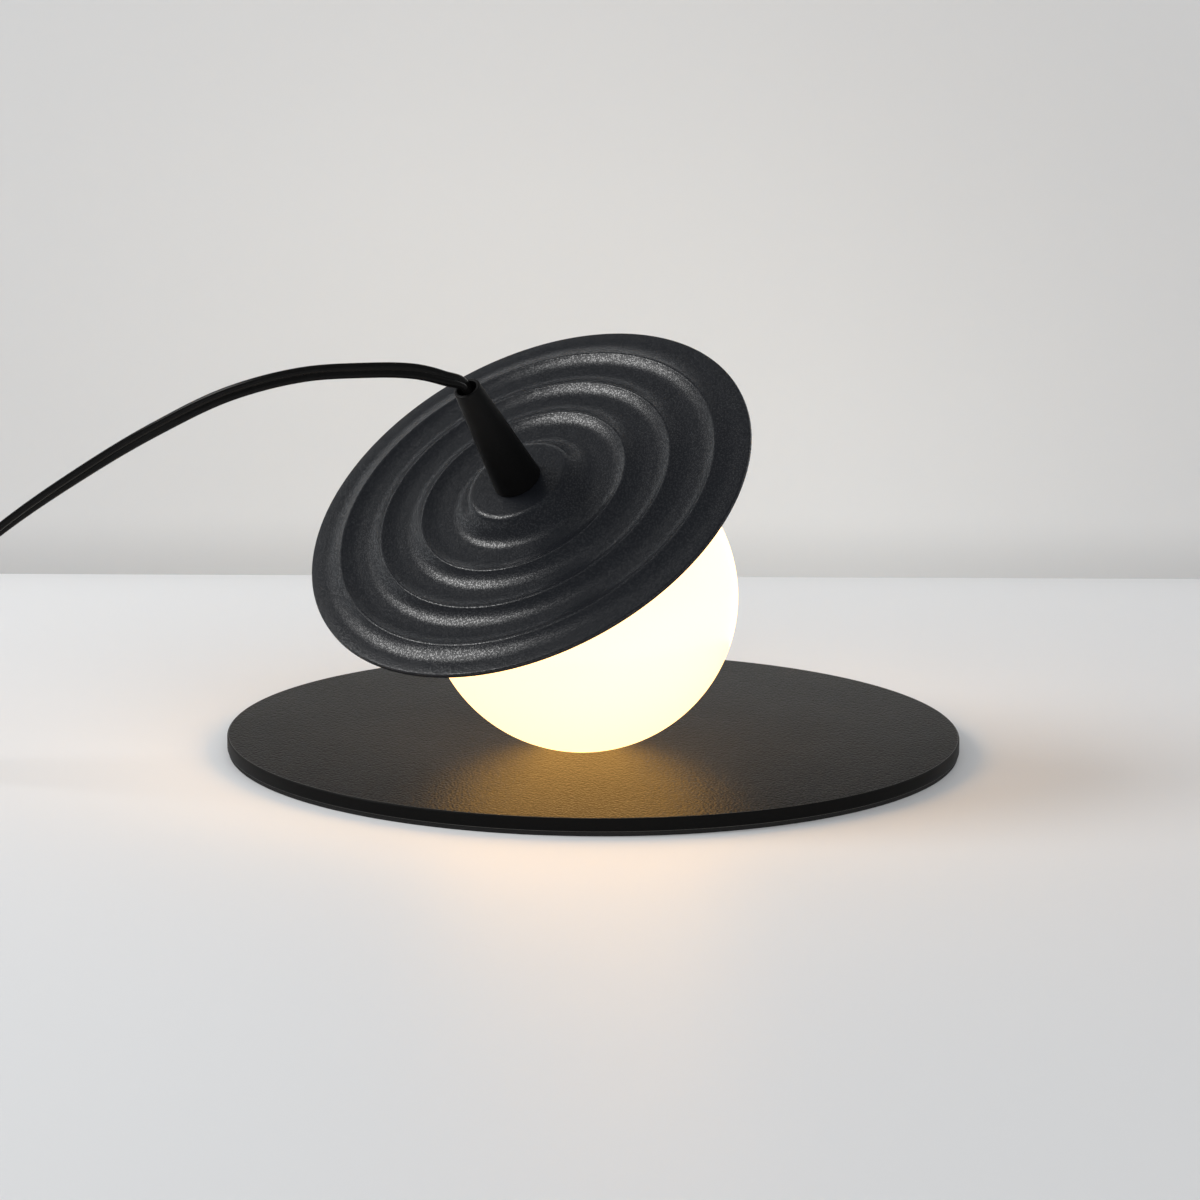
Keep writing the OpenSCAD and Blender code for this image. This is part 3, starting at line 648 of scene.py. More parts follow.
@dataclass
class Lean:
    """How the head stands in its seat.

    Attributes:
        seat: Seat's centre on the plate's top, in millimetres.
        globe_z: Height of the globe's centre, in millimetres.
        lean: Angle from upright, in degrees.
        heading: Direction of the lean from +X, in degrees.
    """

    seat: Point = (-4.9, -25.3)
    globe_z: float = 65.7
    lean: float = 37.5
    heading: float = 230.6

    def centre(self) -> Vector:
        """Return the globe's centre, in metres."""
        return mm(*self.seat, self.globe_z)

    def place(self) -> Matrix:
        """Return the head's place."""
        turn = Matrix.Rotation(math.radians(self.heading), 4, "Z")
        return Matrix.Translation(self.centre()) @ turn @ Matrix.Rotation(math.radians(self.lean), 4, "Y")

    def at(self, height: float) -> Vector:
        """Return the point of the head's axis at a height above the globe's centre, in millimetres."""
        return self.place() @ mm(0.0, 0.0, height)


LEAN = Lean()


@dataclass
class Viewpoint:
    """The camera at the photograph's viewing angle.

    Attributes:
        place: Where it stands, in millimetres.
        pitch: Angle below the horizon, in degrees.
        yaw: Turn to the right of +Y, in degrees.
        roll: Turn about the line of sight, in degrees.
        lens: Focal length, in millimetres.
        film: Width of the frame that the focal length is for, in millimetres.
        clip: Nearest and furthest distance that is drawn, in metres.
    """

    place: Triple = (-19.85, -2103.8, 492.54)
    pitch: float = 11.64
    yaw: float = 0.602
    roll: float = 0.366
    lens: float = 165.465
    film: float = 36.0
    clip: Point = (0.05, 50.0)

    def build(self) -> None:
        """Create the camera and make it the scene's."""
        pitch, yaw, roll = (math.radians(a) for a in (self.pitch, self.yaw, self.roll))
        level = math.cos(pitch)
        ahead = Vector((math.sin(yaw) * level, math.cos(yaw) * level, -math.sin(pitch)))
        right = Vector((math.cos(yaw), -math.sin(yaw), 0.0))
        up = right.cross(ahead)
        across = math.cos(roll) * right + math.sin(roll) * up
        over = math.cos(roll) * up - math.sin(roll) * right
        data = bpy.data.cameras.new("viewpoint")
        data.lens, data.sensor_width = self.lens, self.film
        data.clip_start, data.clip_end = self.clip
        camera = bpy.data.objects.new("viewpoint", data)
        turn = Matrix((across, over, -ahead)).transposed().to_4x4()
        camera.matrix_world = Matrix.Translation(mm(*self.place)) @ turn
        bpy.context.scene.collection.objects.link(camera)
        bpy.context.scene.camera = camera


@dataclass
class FlatCord:
    """A glossy flat twin cord with a groove between its two cores.

    Attributes:
        width: Width of the cord, in millimetres.
        thick: Thickness of the cord, in millimetres.
        groove: Thickness left at the groove, in millimetres.
        core_arc: Half of the round part of each core, in degrees.
        core_steps: Steps in the round part of each core.
        step: Distance between rings on a free stretch, in millimetres.
    """

    width: float = 5.8
    thick: float = 2.9
    groove: float = 1.7
    core_arc: float = 128.0
    core_steps: int = 12
    step: float = 2.0

    def section(self) -> list[Point]:
        """Draw the cord's section.

        Returns:
            Its points, width first, in millimetres.
        """
        core = self.thick / 2
        offset = self.width / 2 - core
        right = arc_points((offset, 0.0), core, -self.core_arc, self.core_arc, self.core_steps)
        left = [(-x, -y) for x, y in right]
        return right + [(0.0, self.groove / 2)] + left + [(0.0, -self.groove / 2)]

    def frames(self, route: Sequence[Ring]) -> list[Matrix]:
        """Return where the section stands at each point of a route.

        Args:
            route: Point, heading and roll in degrees of each ring.

        Returns:
            One placing matrix for each ring.
        """
        made = []
        for point, way, roll in route:
            side = Vector((0, 0, 1)).cross(way).normalized()
            turn = math.radians(roll)
            across = math.cos(turn) * side + math.sin(turn) * way.cross(side)
            basis = Matrix((across, way.cross(across), way)).transposed().to_4x4()
            made.append(Matrix.Translation(point) @ basis)
        return made

    def sweep(self, route: Sequence[Ring]) -> bmesh.types.BMesh:
        """Extrude the section along a route and close both ends.

        Args:
            route: Point, heading and roll in degrees of each ring.

        Returns:
            The cord's mesh.
        """
        mesh = bmesh.new()
        places = self.frames(route)
        ring = [mesh.verts.new(places[0] @ mm(x, y, 0.0)) for x, y in self.section()]
        edges = [mesh.edges.new((ring[k - 1], ring[k])) for k in range(len(ring))]
        mesh.faces.new(ring)
        for last, here in zip(places, places[1:]):
            points, edges = extrude_rim(mesh, edges)
            bmesh.ops.transform(mesh, matrix=here @ last.inverted(), verts=points)
        bmesh.ops.contextual_create(mesh, geom=edges)
        face_out(mesh)
        return mesh


CORD = FlatCord()


def spline(points: Sequence[Vector], rolls: Sequence[float], first: Vector, last: Vector,
           step: float) -> list[Ring]:
    """Lay one smooth curve through points.

    Args:
        points: Points of the curve, in metres.
        rolls: Roll of the section at each point, in degrees.
        first: Heading at the first point.
        last: Heading at the last point.
        step: Distance between rings, in metres.

    Returns:
        Point, heading and roll of each ring.
    """
    ways = [first] + [None] * (len(points) - 2) + [last]
    turns = [0.0] * len(points)
    for k in range(1, len(points) - 1):
        before, after = points[k] - points[k - 1], points[k + 1] - points[k]
        ways[k] = (before / before.length + after / after.length).normalized()
        turns[k] = (rolls[k + 1] - rolls[k - 1]) / (before.length + after.length)
    route = []
    for k in range(len(points) - 1):
        a, b = points[k], points[k + 1]
        length = (b - a).length
        count = max(2, round(length / step))
        for n in range(count + (k == len(points) - 2)):
            u = n / count
            h = (2 * u**3 - 3 * u**2 + 1, u**3 - 2 * u**2 + u, 3 * u**2 - 2 * u**3, u**3 - u**2)
            point = h[0] * a + h[1] * length * ways[k] + h[2] * b + h[3] * length * ways[k + 1]
            roll = (h[0] * rolls[k] + h[1] * length * turns[k] + h[2] * rolls[k + 1]
                    + h[3] * length * turns[k + 1])
            route.append((point, roll))
    middle = [(route[k + 1][0] - route[k - 1][0]).normalized() for k in range(1, len(route) - 1)]
    return [(p, way, roll) for (p, roll), way in zip(route, [first, *middle, last])]


@dataclass
class CordArch:
    """The cord's arch from the cone's tip down to the switch on the table.

    Attributes:
        tip: Height of the cone's tip above the globe's centre, in millimetres.
        tip_gap: Gap between the tip and the cord's first ring, in millimetres.
        mouth_roll: Roll of the cord where it leaves the cone, in degrees.
        route: x, y, z in millimetres and roll in degrees.
        end: Where it enters the switch, in millimetres.
        piece: The built cord.
    """

    tip: float = 113.33
    tip_gap: float = 0.1
    mouth_roll: float = 123.0
    route: tuple[tuple[float, float, float, float], ...] = (
        (-57, -86, 160.5, 112), (-68, -92, 164, 97), (-88, -97, 165, 89), (-109, -98, 163.5, 83),
        (-136, -93, 155.5, 74), (-163, -83, 141, 62), (-190, -71, 123.3, 46), (-226, -56.5, 96.3, 27),
        (-262, -47.5, 63.5, 14), (-298, -38.5, 30, 5), (-322, -27, 12, 1), (-342, -6, 2.5, 0),
        (-353, 22, 2.7, 0))
    end: Triple = (-355, 34, 4)
    piece: bpy.types.Object | None = field(default=None, init=False)

    def route_points(self) -> list[Ring]:
        """Lay the cord from the cone's tip to the switch.

        Returns:
            The cord's rings.
        """
        axis = (LEAN.at(1.0) - LEAN.at(0.0)).normalized()
        points = [LEAN.at(self.tip + self.tip_gap), *(mm(*p[:3]) for p in self.route), mm(*self.end)]
        rolls = [self.mouth_roll, *(p[3] for p in self.route), 0.0]
        return spline(points, rolls, axis, Vector((0, 1, 0)), CORD.step * MM)

    def build(self) -> None:
        """Sweep the cord."""
        mesh = CORD.sweep(self.route_points())
        self.piece = finish_piece("cord_arch_flex", mesh, stock(CORD_VINYL), Edge.SOFT)
        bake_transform(self.piece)
        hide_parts("cord_arch")

    def declare(self) -> None:
        route = self.route_points()


@dataclass
class CordCoil:
    """The wound rest of the cord, from the switch to the plug.

    Attributes:
        start: Where it leaves the switch, in millimetres.
        run: Length of the straight stretches at both ends, in millimetres.
        turns: Number of loops.
        inner: Radius of the innermost loop, in millimetres.
        pitch: Step from loop to loop, in millimetres.
        layer: Step from layer to layer, in millimetres.
        low: Height of the lower layer, in millimetres.
        plug_z: Height of the plug's middle, in millimetres.
        rings: Rings in one loop.
        end_rings: Rings in each straight stretch.
        edgewise: Roll of the cord in the loops, in degrees.
        tie_w: Width of the strap round the loops, in millimetres.
        tie_t: Thickness of the strap, in millimetres.
        tie_reach: How far the strap stands inside and outside the innermost loop, in millimetres.
        tie_top: Height of the strap's top, in millimetres.
        tie_round: Rounding of the strap's corners, in millimetres.
        tie_loose: The loose end, along and above the strap's top, in millimetres.
        tie_strips: Strips across the strap's width.
        piece: The built cord.
    """

    start: Triple = (-355.0, 92.0, 4.0)
    run: float = 45.0
    turns: float = 6.5
    inner: float = 24.0
    pitch: float = 3.7
    layer: float = 7.0
    low: float = 3.8
    plug_z: float = 7.0
    rings: int = 60
    end_rings: int = 18
    edgewise: float = 90.0
    tie_w: float = 10.0
    tie_t: float = 0.6
    tie_reach: Point = (2.9, 14.4)
    tie_top: float = 14.6
    tie_round: float = 2.2
    tie_loose: tuple[Point, ...] = ((3.0, 0.62), (8.0, 0.62), (13.0, 0.7), (16.0, 1.1))
    tie_strips: int = 4
    piece: bpy.types.Object | None = field(default=None, init=False)

    def middle(self) -> Point:
        """Return the middle of the loops, in millimetres."""
        outer = self.inner + self.pitch * self.turns / 2
        return self.start[0] + outer, self.start[1] + self.run + CORD.width

    def loop_point(self, t: float) -> Vector:
        """Follow the loops.

        Args:
            t: Number of loops from the switch.

        Returns:
            The cord's middle there, in metres.
        """
        x, y = self.middle()
        radius = self.inner + self.pitch * abs(t - self.turns / 2)
        angle = math.radians(180 - 360 * t)
        height = self.low + self.layer * smooth_step(2 * t - self.turns + 0.5)
        return mm(x + radius * math.cos(angle), y + radius * math.sin(angle), height)

    def route(self) -> list[Ring]:
        """Lay the cord from the switch, round the loops and on to the plug.

        Returns:
            The cord's rings.
        """
        count = round(self.turns * self.rings)
        loops = [self.loop_point(k / self.rings) for k in range(count + 1)]
        made = []
        first, last = loops[0] - mm(0, CORD.width, 0), loops[-1] - mm(0, CORD.width, 0)
        for k in range(self.end_rings):
            u = k / self.end_rings
            eased = smooth_step(u)
            height = self.start[2] + (self.low - self.start[2]) * eased
            made.append((mm(self.start[0], self.start[1] + u * self.run, height), self.edgewise * eased))
        made.extend((p, self.edgewise) for p in (first, *loops))
        for k in range(self.end_rings + 1):
            u = k / self.end_rings
            eased = smooth_step(u)
            height = last.z / MM + (self.plug_z - last.z / MM) * eased
            point = Vector((last.x, last.y - u * self.run * MM, height * MM))
            made.append((point, self.edgewise * (1 - eased)))
        ways = [(made[k + 1][0] - made[k - 1][0]).normalized() for k in range(1, len(made) - 1)]
        ways = [Vector((0, 1, 0)), *ways, Vector((0, -1, 0))]
        return [(p, way, roll) for (p, roll), way in zip(made, ways)]

    def tie(self) -> None:
        """Build the strap round the loops: a flat band bent into a ring, with a loose end on top."""
        near, far = self.inner - self.tie_reach[0], self.inner + self.tie_reach[1]
        top, soft, side = self.tie_top, self.tie_round, -self.tie_w / 2
        corners = ((far - soft, soft), (far - soft, top - soft),
                   (near + soft, top - soft), (near + soft, soft))
        ring = [p for k, c in enumerate(corners) for p in arc_points(c, soft, 90 * k - 90, 90 * k, 5)]
        mesh = bmesh.new()
        points = [mesh.verts.new(mm(side, y, z)) for y, z in ring]
        edges = [mesh.edges.new((points[k - 1], points[k])) for k in range(len(points))]
        loose = [mesh.verts.new(mm(side, near + along, top + up)) for along, up in self.tie_loose]
        edges += [mesh.edges.new(pair) for pair in zip(loose, loose[1:])]
        for _ in range(self.tie_strips):
            points, edges = extrude_rim(mesh, edges)
            bmesh.ops.translate(mesh, vec=mm(self.tie_w / self.tie_strips, 0, 0), verts=points)
        face_out(mesh)
        bmesh.ops.solidify(mesh, geom=mesh.faces[:], thickness=self.tie_t * MM)
        centre = mm(*self.middle(), 0)
        piece = finish_piece("coil_strap", mesh, stock(TIE_STRAP), Edge.CRISP, Matrix.Translation(centre))
        settle(piece, Body.LEAD, "tie_plastic", "coil_tie")

    def build(self) -> None:
        """Sweep the wound cord."""
        self.piece = finish_piece("cord_wound", CORD.sweep(self.route()), stock(CORD_VINYL), Edge.SOFT)
        settle(self.piece, Body.LEAD, "cord_vinyl", "cord_run", "cord_coil", "cord_tail")
        self.tie()

    def declare(self) -> None:
        route = self.route()


@dataclass
class BasePlate:
    """The flat round base with its chamfered edge, its pad and the pocket for the seat.

    Attributes:
        diameter: Diameter of the plate, in millimetres.
        top: Height of the plate's top, in millimetres.
        under: Height of the plate's underside, in millimetres.
        chamfer: Chamfer along the top edge, in millimetres.
        pad_inset: Set-back of the pad, in millimetres.
        pad_soft: Rounding of the pad's lower edge, in millimetres.
        pad_gap: Gap between the pad and the plate, in millimetres.
        pocket_d: Diameter of the pocket, in millimetres.
        pocket: Depth of the pocket, in millimetres.
        edge_soft: Rounding of the chamfer's edges, in millimetres.
        foot_soft: Rounding of the plate's lower edge, in millimetres.
        painted_highlight_band: Width inside the chamfer within which faces take the side's finish or the
            painted highlight, in millimetres.
        side_tilt: Least and largest upward tilt of a face that counts as the plate's side.
        steps: Steps round the rim, the pocket and the pad.
    """

    diameter: float = 286.0
    top: float = 7.0
    under: float = 1.8
    chamfer: float = 0.6
    pad_inset: float = 0.5
    pad_soft: float = 0.5
    pad_gap: float = 0.01
    pocket_d: float = 31.0
    pocket: float = 3.4
    edge_soft: float = 0.18
    foot_soft: float = 0.2
    painted_highlight_band: float = 0.05
    side_tilt: Point = (-0.1, 0.75)
    steps: tuple[int, int, int] = (256, 96, 192)

    def plate(self) -> bmesh.types.BMesh:
        """Build the plate: two bridged rings drawn down to the side, the pocket and the underside.

        Returns:
            The plate's mesh, with numbers for its three finishes; the third is a painted highlight on the
            edge roundings.
        """
        mesh = bmesh.new()
        radius = self.diameter / 2
        rim = bmesh.ops.create_circle(mesh, segments=self.steps[0], radius=(radius - self.chamfer) * MM,
                                      matrix=Matrix.Translation(mm(0, 0, self.top)))["verts"]
        pocket = bmesh.ops.create_circle(mesh, segments=self.steps[1], radius=self.pocket_d / 2 * MM,
                                         matrix=Matrix.Translation(mm(*LEAN.seat, self.top)))["verts"]
        outer = list({e for v in rim for e in v.link_edges})
        inner = list({e for v in pocket for e in v.link_edges})
        bmesh.ops.bridge_loops(mesh, edges=outer + inner)
        grow = radius / (radius - self.chamfer)
        side = self.draw(mesh, outer, Matrix.Diagonal((grow, grow, 1, 1)), -self.chamfer)
        foot = self.draw(mesh, side, Matrix.Identity(4), self.under - self.top + self.chamfer)
        bmesh.ops.contextual_create(mesh, geom=foot)
        floor = self.draw(mesh, inner, Matrix.Identity(4), -self.pocket)
        bmesh.ops.contextual_create(mesh, geom=floor)
        face_out(mesh)
        near_rim = (radius - 2 * self.chamfer) * MM
        half_way = (self.top + self.under) / 2 * MM
        rings = [e for e in mesh.edges if all(v.co.to_2d().length > near_rim for v in e.verts)
                 and abs(e.verts[0].co.z - e.verts[1].co.z) < TINY]
        bevel_edges(mesh, [e for e in rings if e.verts[0].co.z > half_way], self.edge_soft * MM, 2)
        lower = [e for e in rings if e.is_valid and e.verts[0].co.z < half_way]
        bevel_edges(mesh, lower, self.foot_soft * MM, 2)
        least, largest = self.side_tilt
        inner_r = (radius - self.chamfer - self.painted_highlight_band) * MM
        # Faces by the rim that are not its side get the painted highlight: the roundings at the top of
        # the chamfer and at the foot.
        for face in mesh.faces:
            if face.calc_center_median().to_2d().length > inner_r:
                face.material_index = 1 if least <= face.normal.z <= largest else 2
        return mesh

    def draw(self, mesh: bmesh.types.BMesh, edges: list, widen: Matrix, rise: float) -> list:
        """Extrude a ring of edges, widen it and move it up or down.

        Args:
            mesh: The mesh to grow.
            edges: The ring's edges.
            widen: Scale about the plate's axis.
            rise: Distance upwards, in millimetres.

        Returns:
            The new ring's edges.
        """
        points, ring = extrude_rim(mesh, edges)
        bmesh.ops.transform(mesh, matrix=widen, verts=points)
        bmesh.ops.translate(mesh, vec=mm(0, 0, rise), verts=points)
        return ring

    def pad(self) -> bmesh.types.BMesh:
        """Build the pad with a softened lower edge.

        Returns:
            The pad's mesh.
        """
        radius = self.diameter / 2 - self.pad_inset
        soft, top = self.pad_soft, self.under - self.pad_gap
        edge = arc_points((radius - soft, soft), soft, -90, 0, 3)
        return lathe([(0.0, 0.0), *edge, (radius, top), (0.0, top)], self.steps[2], closed=False)

    def build(self) -> None:
        """Build the base's pieces and dress its seat."""
        plate = finish_piece("base_plate_top", self.plate(), stock(PLATE_PAINT), Edge.CRISP,
                             others=(stock(PLATE_SIDE), stock(PLATE_PAINTED_HIGHLIGHT)))
        settle(plate, Body.BASE, "plate_paint", "base_plate")
        pad = finish_piece("base_pad_foam", self.pad(), stock(PAD_RUBBER), Edge.SOFT)
        settle(pad, Body.BASE, "pad_rubber", "base_pad")
        dress(SEAT_RUBBER, "seat_ring")


@dataclass
class Globe:
    """The opal glass globe with its neck.

    Attributes:
        radius: Outside radius, in millimetres.
        wall: Thickness of the glass, in millimetres.
        neck_r: Outside radius of the neck, in millimetres.
        neck_wall: Thickness of the neck, in millimetres.
        neck_top: Height of the neck's rim above the globe's centre, in millimetres.
        lip: Chamfer of the neck's rim, in millimetres.
        steps: Steps along the outside, along the inside and round the globe.
        finish: The lit glass.
    """

    radius: float = 60.0
    wall: float = 2.5
    neck_r: float = 16.0
    neck_wall: float = 2.8
    neck_top: float = 60.73
    lip: float = 0.4
    steps: tuple[int, int, int] = (72, 56, 144)
    finish: LitOpal = field(default_factory=lambda: LitOpal(
        "opal_glass", (0.34, 0.32, 0.27), (2.9, 1.65, 0.68), (2.9, 1.75, 0.82), tuple(LEAN.at(5.0)),
        (0.03, 0.075), throw=(2.0, 1.85, 1.2)))

    def build(self) -> None:
        """Spin the globe with its inner wall."""
        inner, bore = self.radius - self.wall, self.neck_r - self.neck_wall
        shoulder = math.degrees(math.acos(self.neck_r / self.radius))
        throat = math.degrees(math.acos(bore / inner))
        outside = arc_points((0.0, 0.0), self.radius, -90, shoulder, self.steps[0])
        inside = arc_points((0.0, 0.0), inner, throat, -90, self.steps[1])
        low = self.neck_top - self.lip
        lip = [(self.neck_r, low), (self.neck_r - self.lip, self.neck_top),
               (bore + self.lip, self.neck_top), (bore, low)]
        mesh = lathe([*outside, *lip, *inside], self.steps[2], closed=False)
        piece = finish_piece("globe_opal", mesh, stock(self.finish), Edge.SOFT, LEAN.place())
        settle(piece, Body.HEAD, "opal_glass", "globe")


@dataclass
class RippleShade:
    """The pressed disc with its boss, ring ripples and flange.

    Attributes:
        radius: Radius of the disc, in millimetres.
        sheet: Thickness of the sheet, in millimetres.
        hole: Radius of the hole in the middle, in millimetres.
        rim_top: Height of the flange's top above the globe's centre, in millimetres.
        boss_r: Radius of the boss, in millimetres.
        boss_h: Height of the boss above the flange, in millimetres.
        boss_wall: Run of the wall round the boss, in millimetres.
        boss_edge: Rounding of the boss's edge, in millimetres.
        crests: Radius and height of each crest, in millimetres.
        rise: Rise of a ripple on its inner side, in millimetres.
        flank_in: Width of the inner flank, in millimetres.
        flank_out: Width of the outer flank, in millimetres.
        rim_round: Rounding of the rim, in millimetres.
        crest_round: Rounding of the crests, in millimetres.
        steps: Steps round the disc.
    """

    radius: float = 90.0
    sheet: float = 1.6
    hole: float = 5.05
    rim_top: float = 53.63
    boss_r: float = 20.0
    boss_h: float = 10.7
    boss_wall: float = 11.0
    boss_edge: float = 1.9
    crests: tuple[Point, ...] = ((41.7, 5.5), (59.2, 4.0), (76.7, 2.5))
    rise: float = 1.9
    flank_in: float = 6.5
    flank_out: float = 8.0
    rim_round: float = 0.6
    crest_round: float = 0.7
    steps: int = 288

    def upper(self) -> list[Point]:
        """Draw the upper face's outline from the hole to the rim.

        Returns:
            Radius and height above the flange of each point, in millimetres.
        """
        floors = [h - self.rise for _, h in self.crests] + [0.0]
        slope = 2 * (self.boss_h - floors[0]) / self.boss_wall
        angle = math.atan(slope)
        start = (self.boss_r + self.boss_edge * math.cos(angle),
                 self.boss_h - self.boss_edge * math.sin(angle))
        half = (start[1] - floors[0]) / slope
        outline: list[Point] = [(self.hole, self.boss_h), (self.boss_r - self.boss_edge, self.boss_h)]
        outline += curve_points(outline[-1], (self.boss_r, self.boss_h), start, 6)
        outline += curve_points(start, (start[0] + half, floors[0]), (start[0] + 2 * half, floors[0]), 12)
        for (r, h), low, after in zip(self.crests, floors, floors[1:]):
            outline.append((r - self.flank_in, low))
            outline += curve_points(outline[-1], (r - self.flank_in / 2, low), (r, h), 10)
            out = r + self.flank_out
            outline += curve_points((r, h), (r + self.flank_out / 2, after), (out, after), 12)
        outline.append((self.radius - self.rim_round, 0.0))
        return outline

    def build(self) -> None:
        """Spin the disc, soften its crests and place it on the globe."""
        upper = self.upper()
        rim = arc_points((self.radius - self.rim_round, -self.rim_round), self.rim_round, 90, 0, 4)[1:]
        lower = [(r, z - self.sheet) for r, z in reversed(upper)]
        outline = [*upper, *rim, (self.radius, -self.sheet), *lower]
        mesh = lathe([(r, z + self.rim_top) for r, z in outline], self.steps)
        tops = [mm(r, h + self.rim_top) for r, h in self.crests]
        edges = [e for e in mesh.edges for r, h in tops
                 if all(abs(v.co.to_2d().length - r) < TINY and abs(v.co.z - h) < TINY for v in e.verts)]
        bevel_edges(mesh, edges, self.crest_round * MM, 4)
        piece = finish_piece("shade_rippled", mesh, stock(SHADE_COAT), Edge.SOFT, LEAN.place())
        settle(piece, Body.HEAD, "shade_coat", "shade_disc")


@dataclass
class CordCone:
    """The slim cone that leads the cord out of the shade.

    Attributes:
        foot: Height of the cone's foot above the globe's centre, in millimetres.
        tip: Height of its tip, in millimetres.
        foot_r: Radius at the foot, in millimetres.
        tip_r: Radius at the tip, in millimetres.
        bore: Radius of the bore, in millimetres.
        socket_r: Radius of the socket in the foot, in millimetres.
        socket: Depth of the socket, in millimetres.
        foot_soft: Rounding of the foot's edge, in millimetres.
        lip_soft: Rounding of the lip's outer edge, in millimetres.
        mouth_soft: Rounding of the lip's inner edge, in millimetres.
        taper: Slope of the wall at the lip, in degrees.
        steps: Steps round the cone.
    """

    foot: float = 64.33
    tip: float = 113.33
    foot_r: float = 9.35
    tip_r: float = 5.2
    bore: float = 3.9
    socket_r: float = 5.05
    socket: float = 22.0
    foot_soft: float = 0.35
    lip_soft: float = 0.45
    mouth_soft: float = 0.3
    taper: float = 5.0
    steps: int = 128

    def build(self) -> None:
        """Spin the cone with its bore and a softened lip."""
        low, out, into = self.foot_soft, self.lip_soft, self.mouth_soft
        wall = arc_points((self.foot_r - low, self.foot + low), low, -90, 0, 3)
        lip = arc_points((self.tip_r - out, self.tip - out), out, self.taper, 90, 4)
        mouth = arc_points((self.bore + into, self.tip - into), into, 90, 180, 3)
        inside = [(self.bore, self.foot + self.socket), (self.socket_r, self.foot + self.socket),
                  (self.socket_r, self.foot)]
        mesh = lathe([*wall, *lip, *mouth, *inside], self.steps)
        piece = finish_piece("cord_cone_turned", mesh, stock(CONE_PLASTIC), Edge.SOFT, LEAN.place())
        settle(piece, Body.HEAD, "cone_plastic", "cord_cone")


@dataclass
class Fitting:
    """The lampholder, bulb and clamp parts inside the head.

    Attributes:
        cover: Finish of the bulb's lit cover.
        strip: Finish of the light strip in the bulb.
    """

    cover: LitOpal = field(default_factory=lambda: LitOpal(
        "bulb_cover", (0.8, 0.76, 0.66), (1.6, 1.15, 0.55), (2.2, 1.6, 0.8), tuple(LEAN.at(11.0)),
        (0.0, 0.03)))
    strip: LitOpal = field(default_factory=lambda: LitOpal(
        "light_strip", (0.8, 0.6, 0.2), (1.5, 1.0, 0.4), (2.4, 1.7, 0.8), tuple(LEAN.at(11.0)),
        (0.0, 0.03)))

    def build(self) -> None:
        """Dress the parts."""
        dress(SILICONE, "globe_gasket")
        dress(ZINC, "gallery_ring", "holder_bracket", "bracket_screws", "lock_washer", "bulb_pins")
        dress(BRASS, "threaded_nipple", "nipple_nut", "lampholder_contacts")
        dress(CERAMIC, "lampholder_body", "bulb_cap")
        dress(self.cover, "bulb_envelope")
        dress(self.strip, "bulb_light_strip")
        dress(NYLON, "cord_grip")
        dress(CORD_VINYL, "cord_in_cone")
        dress(LEAD_WIRE, "holder_leads")


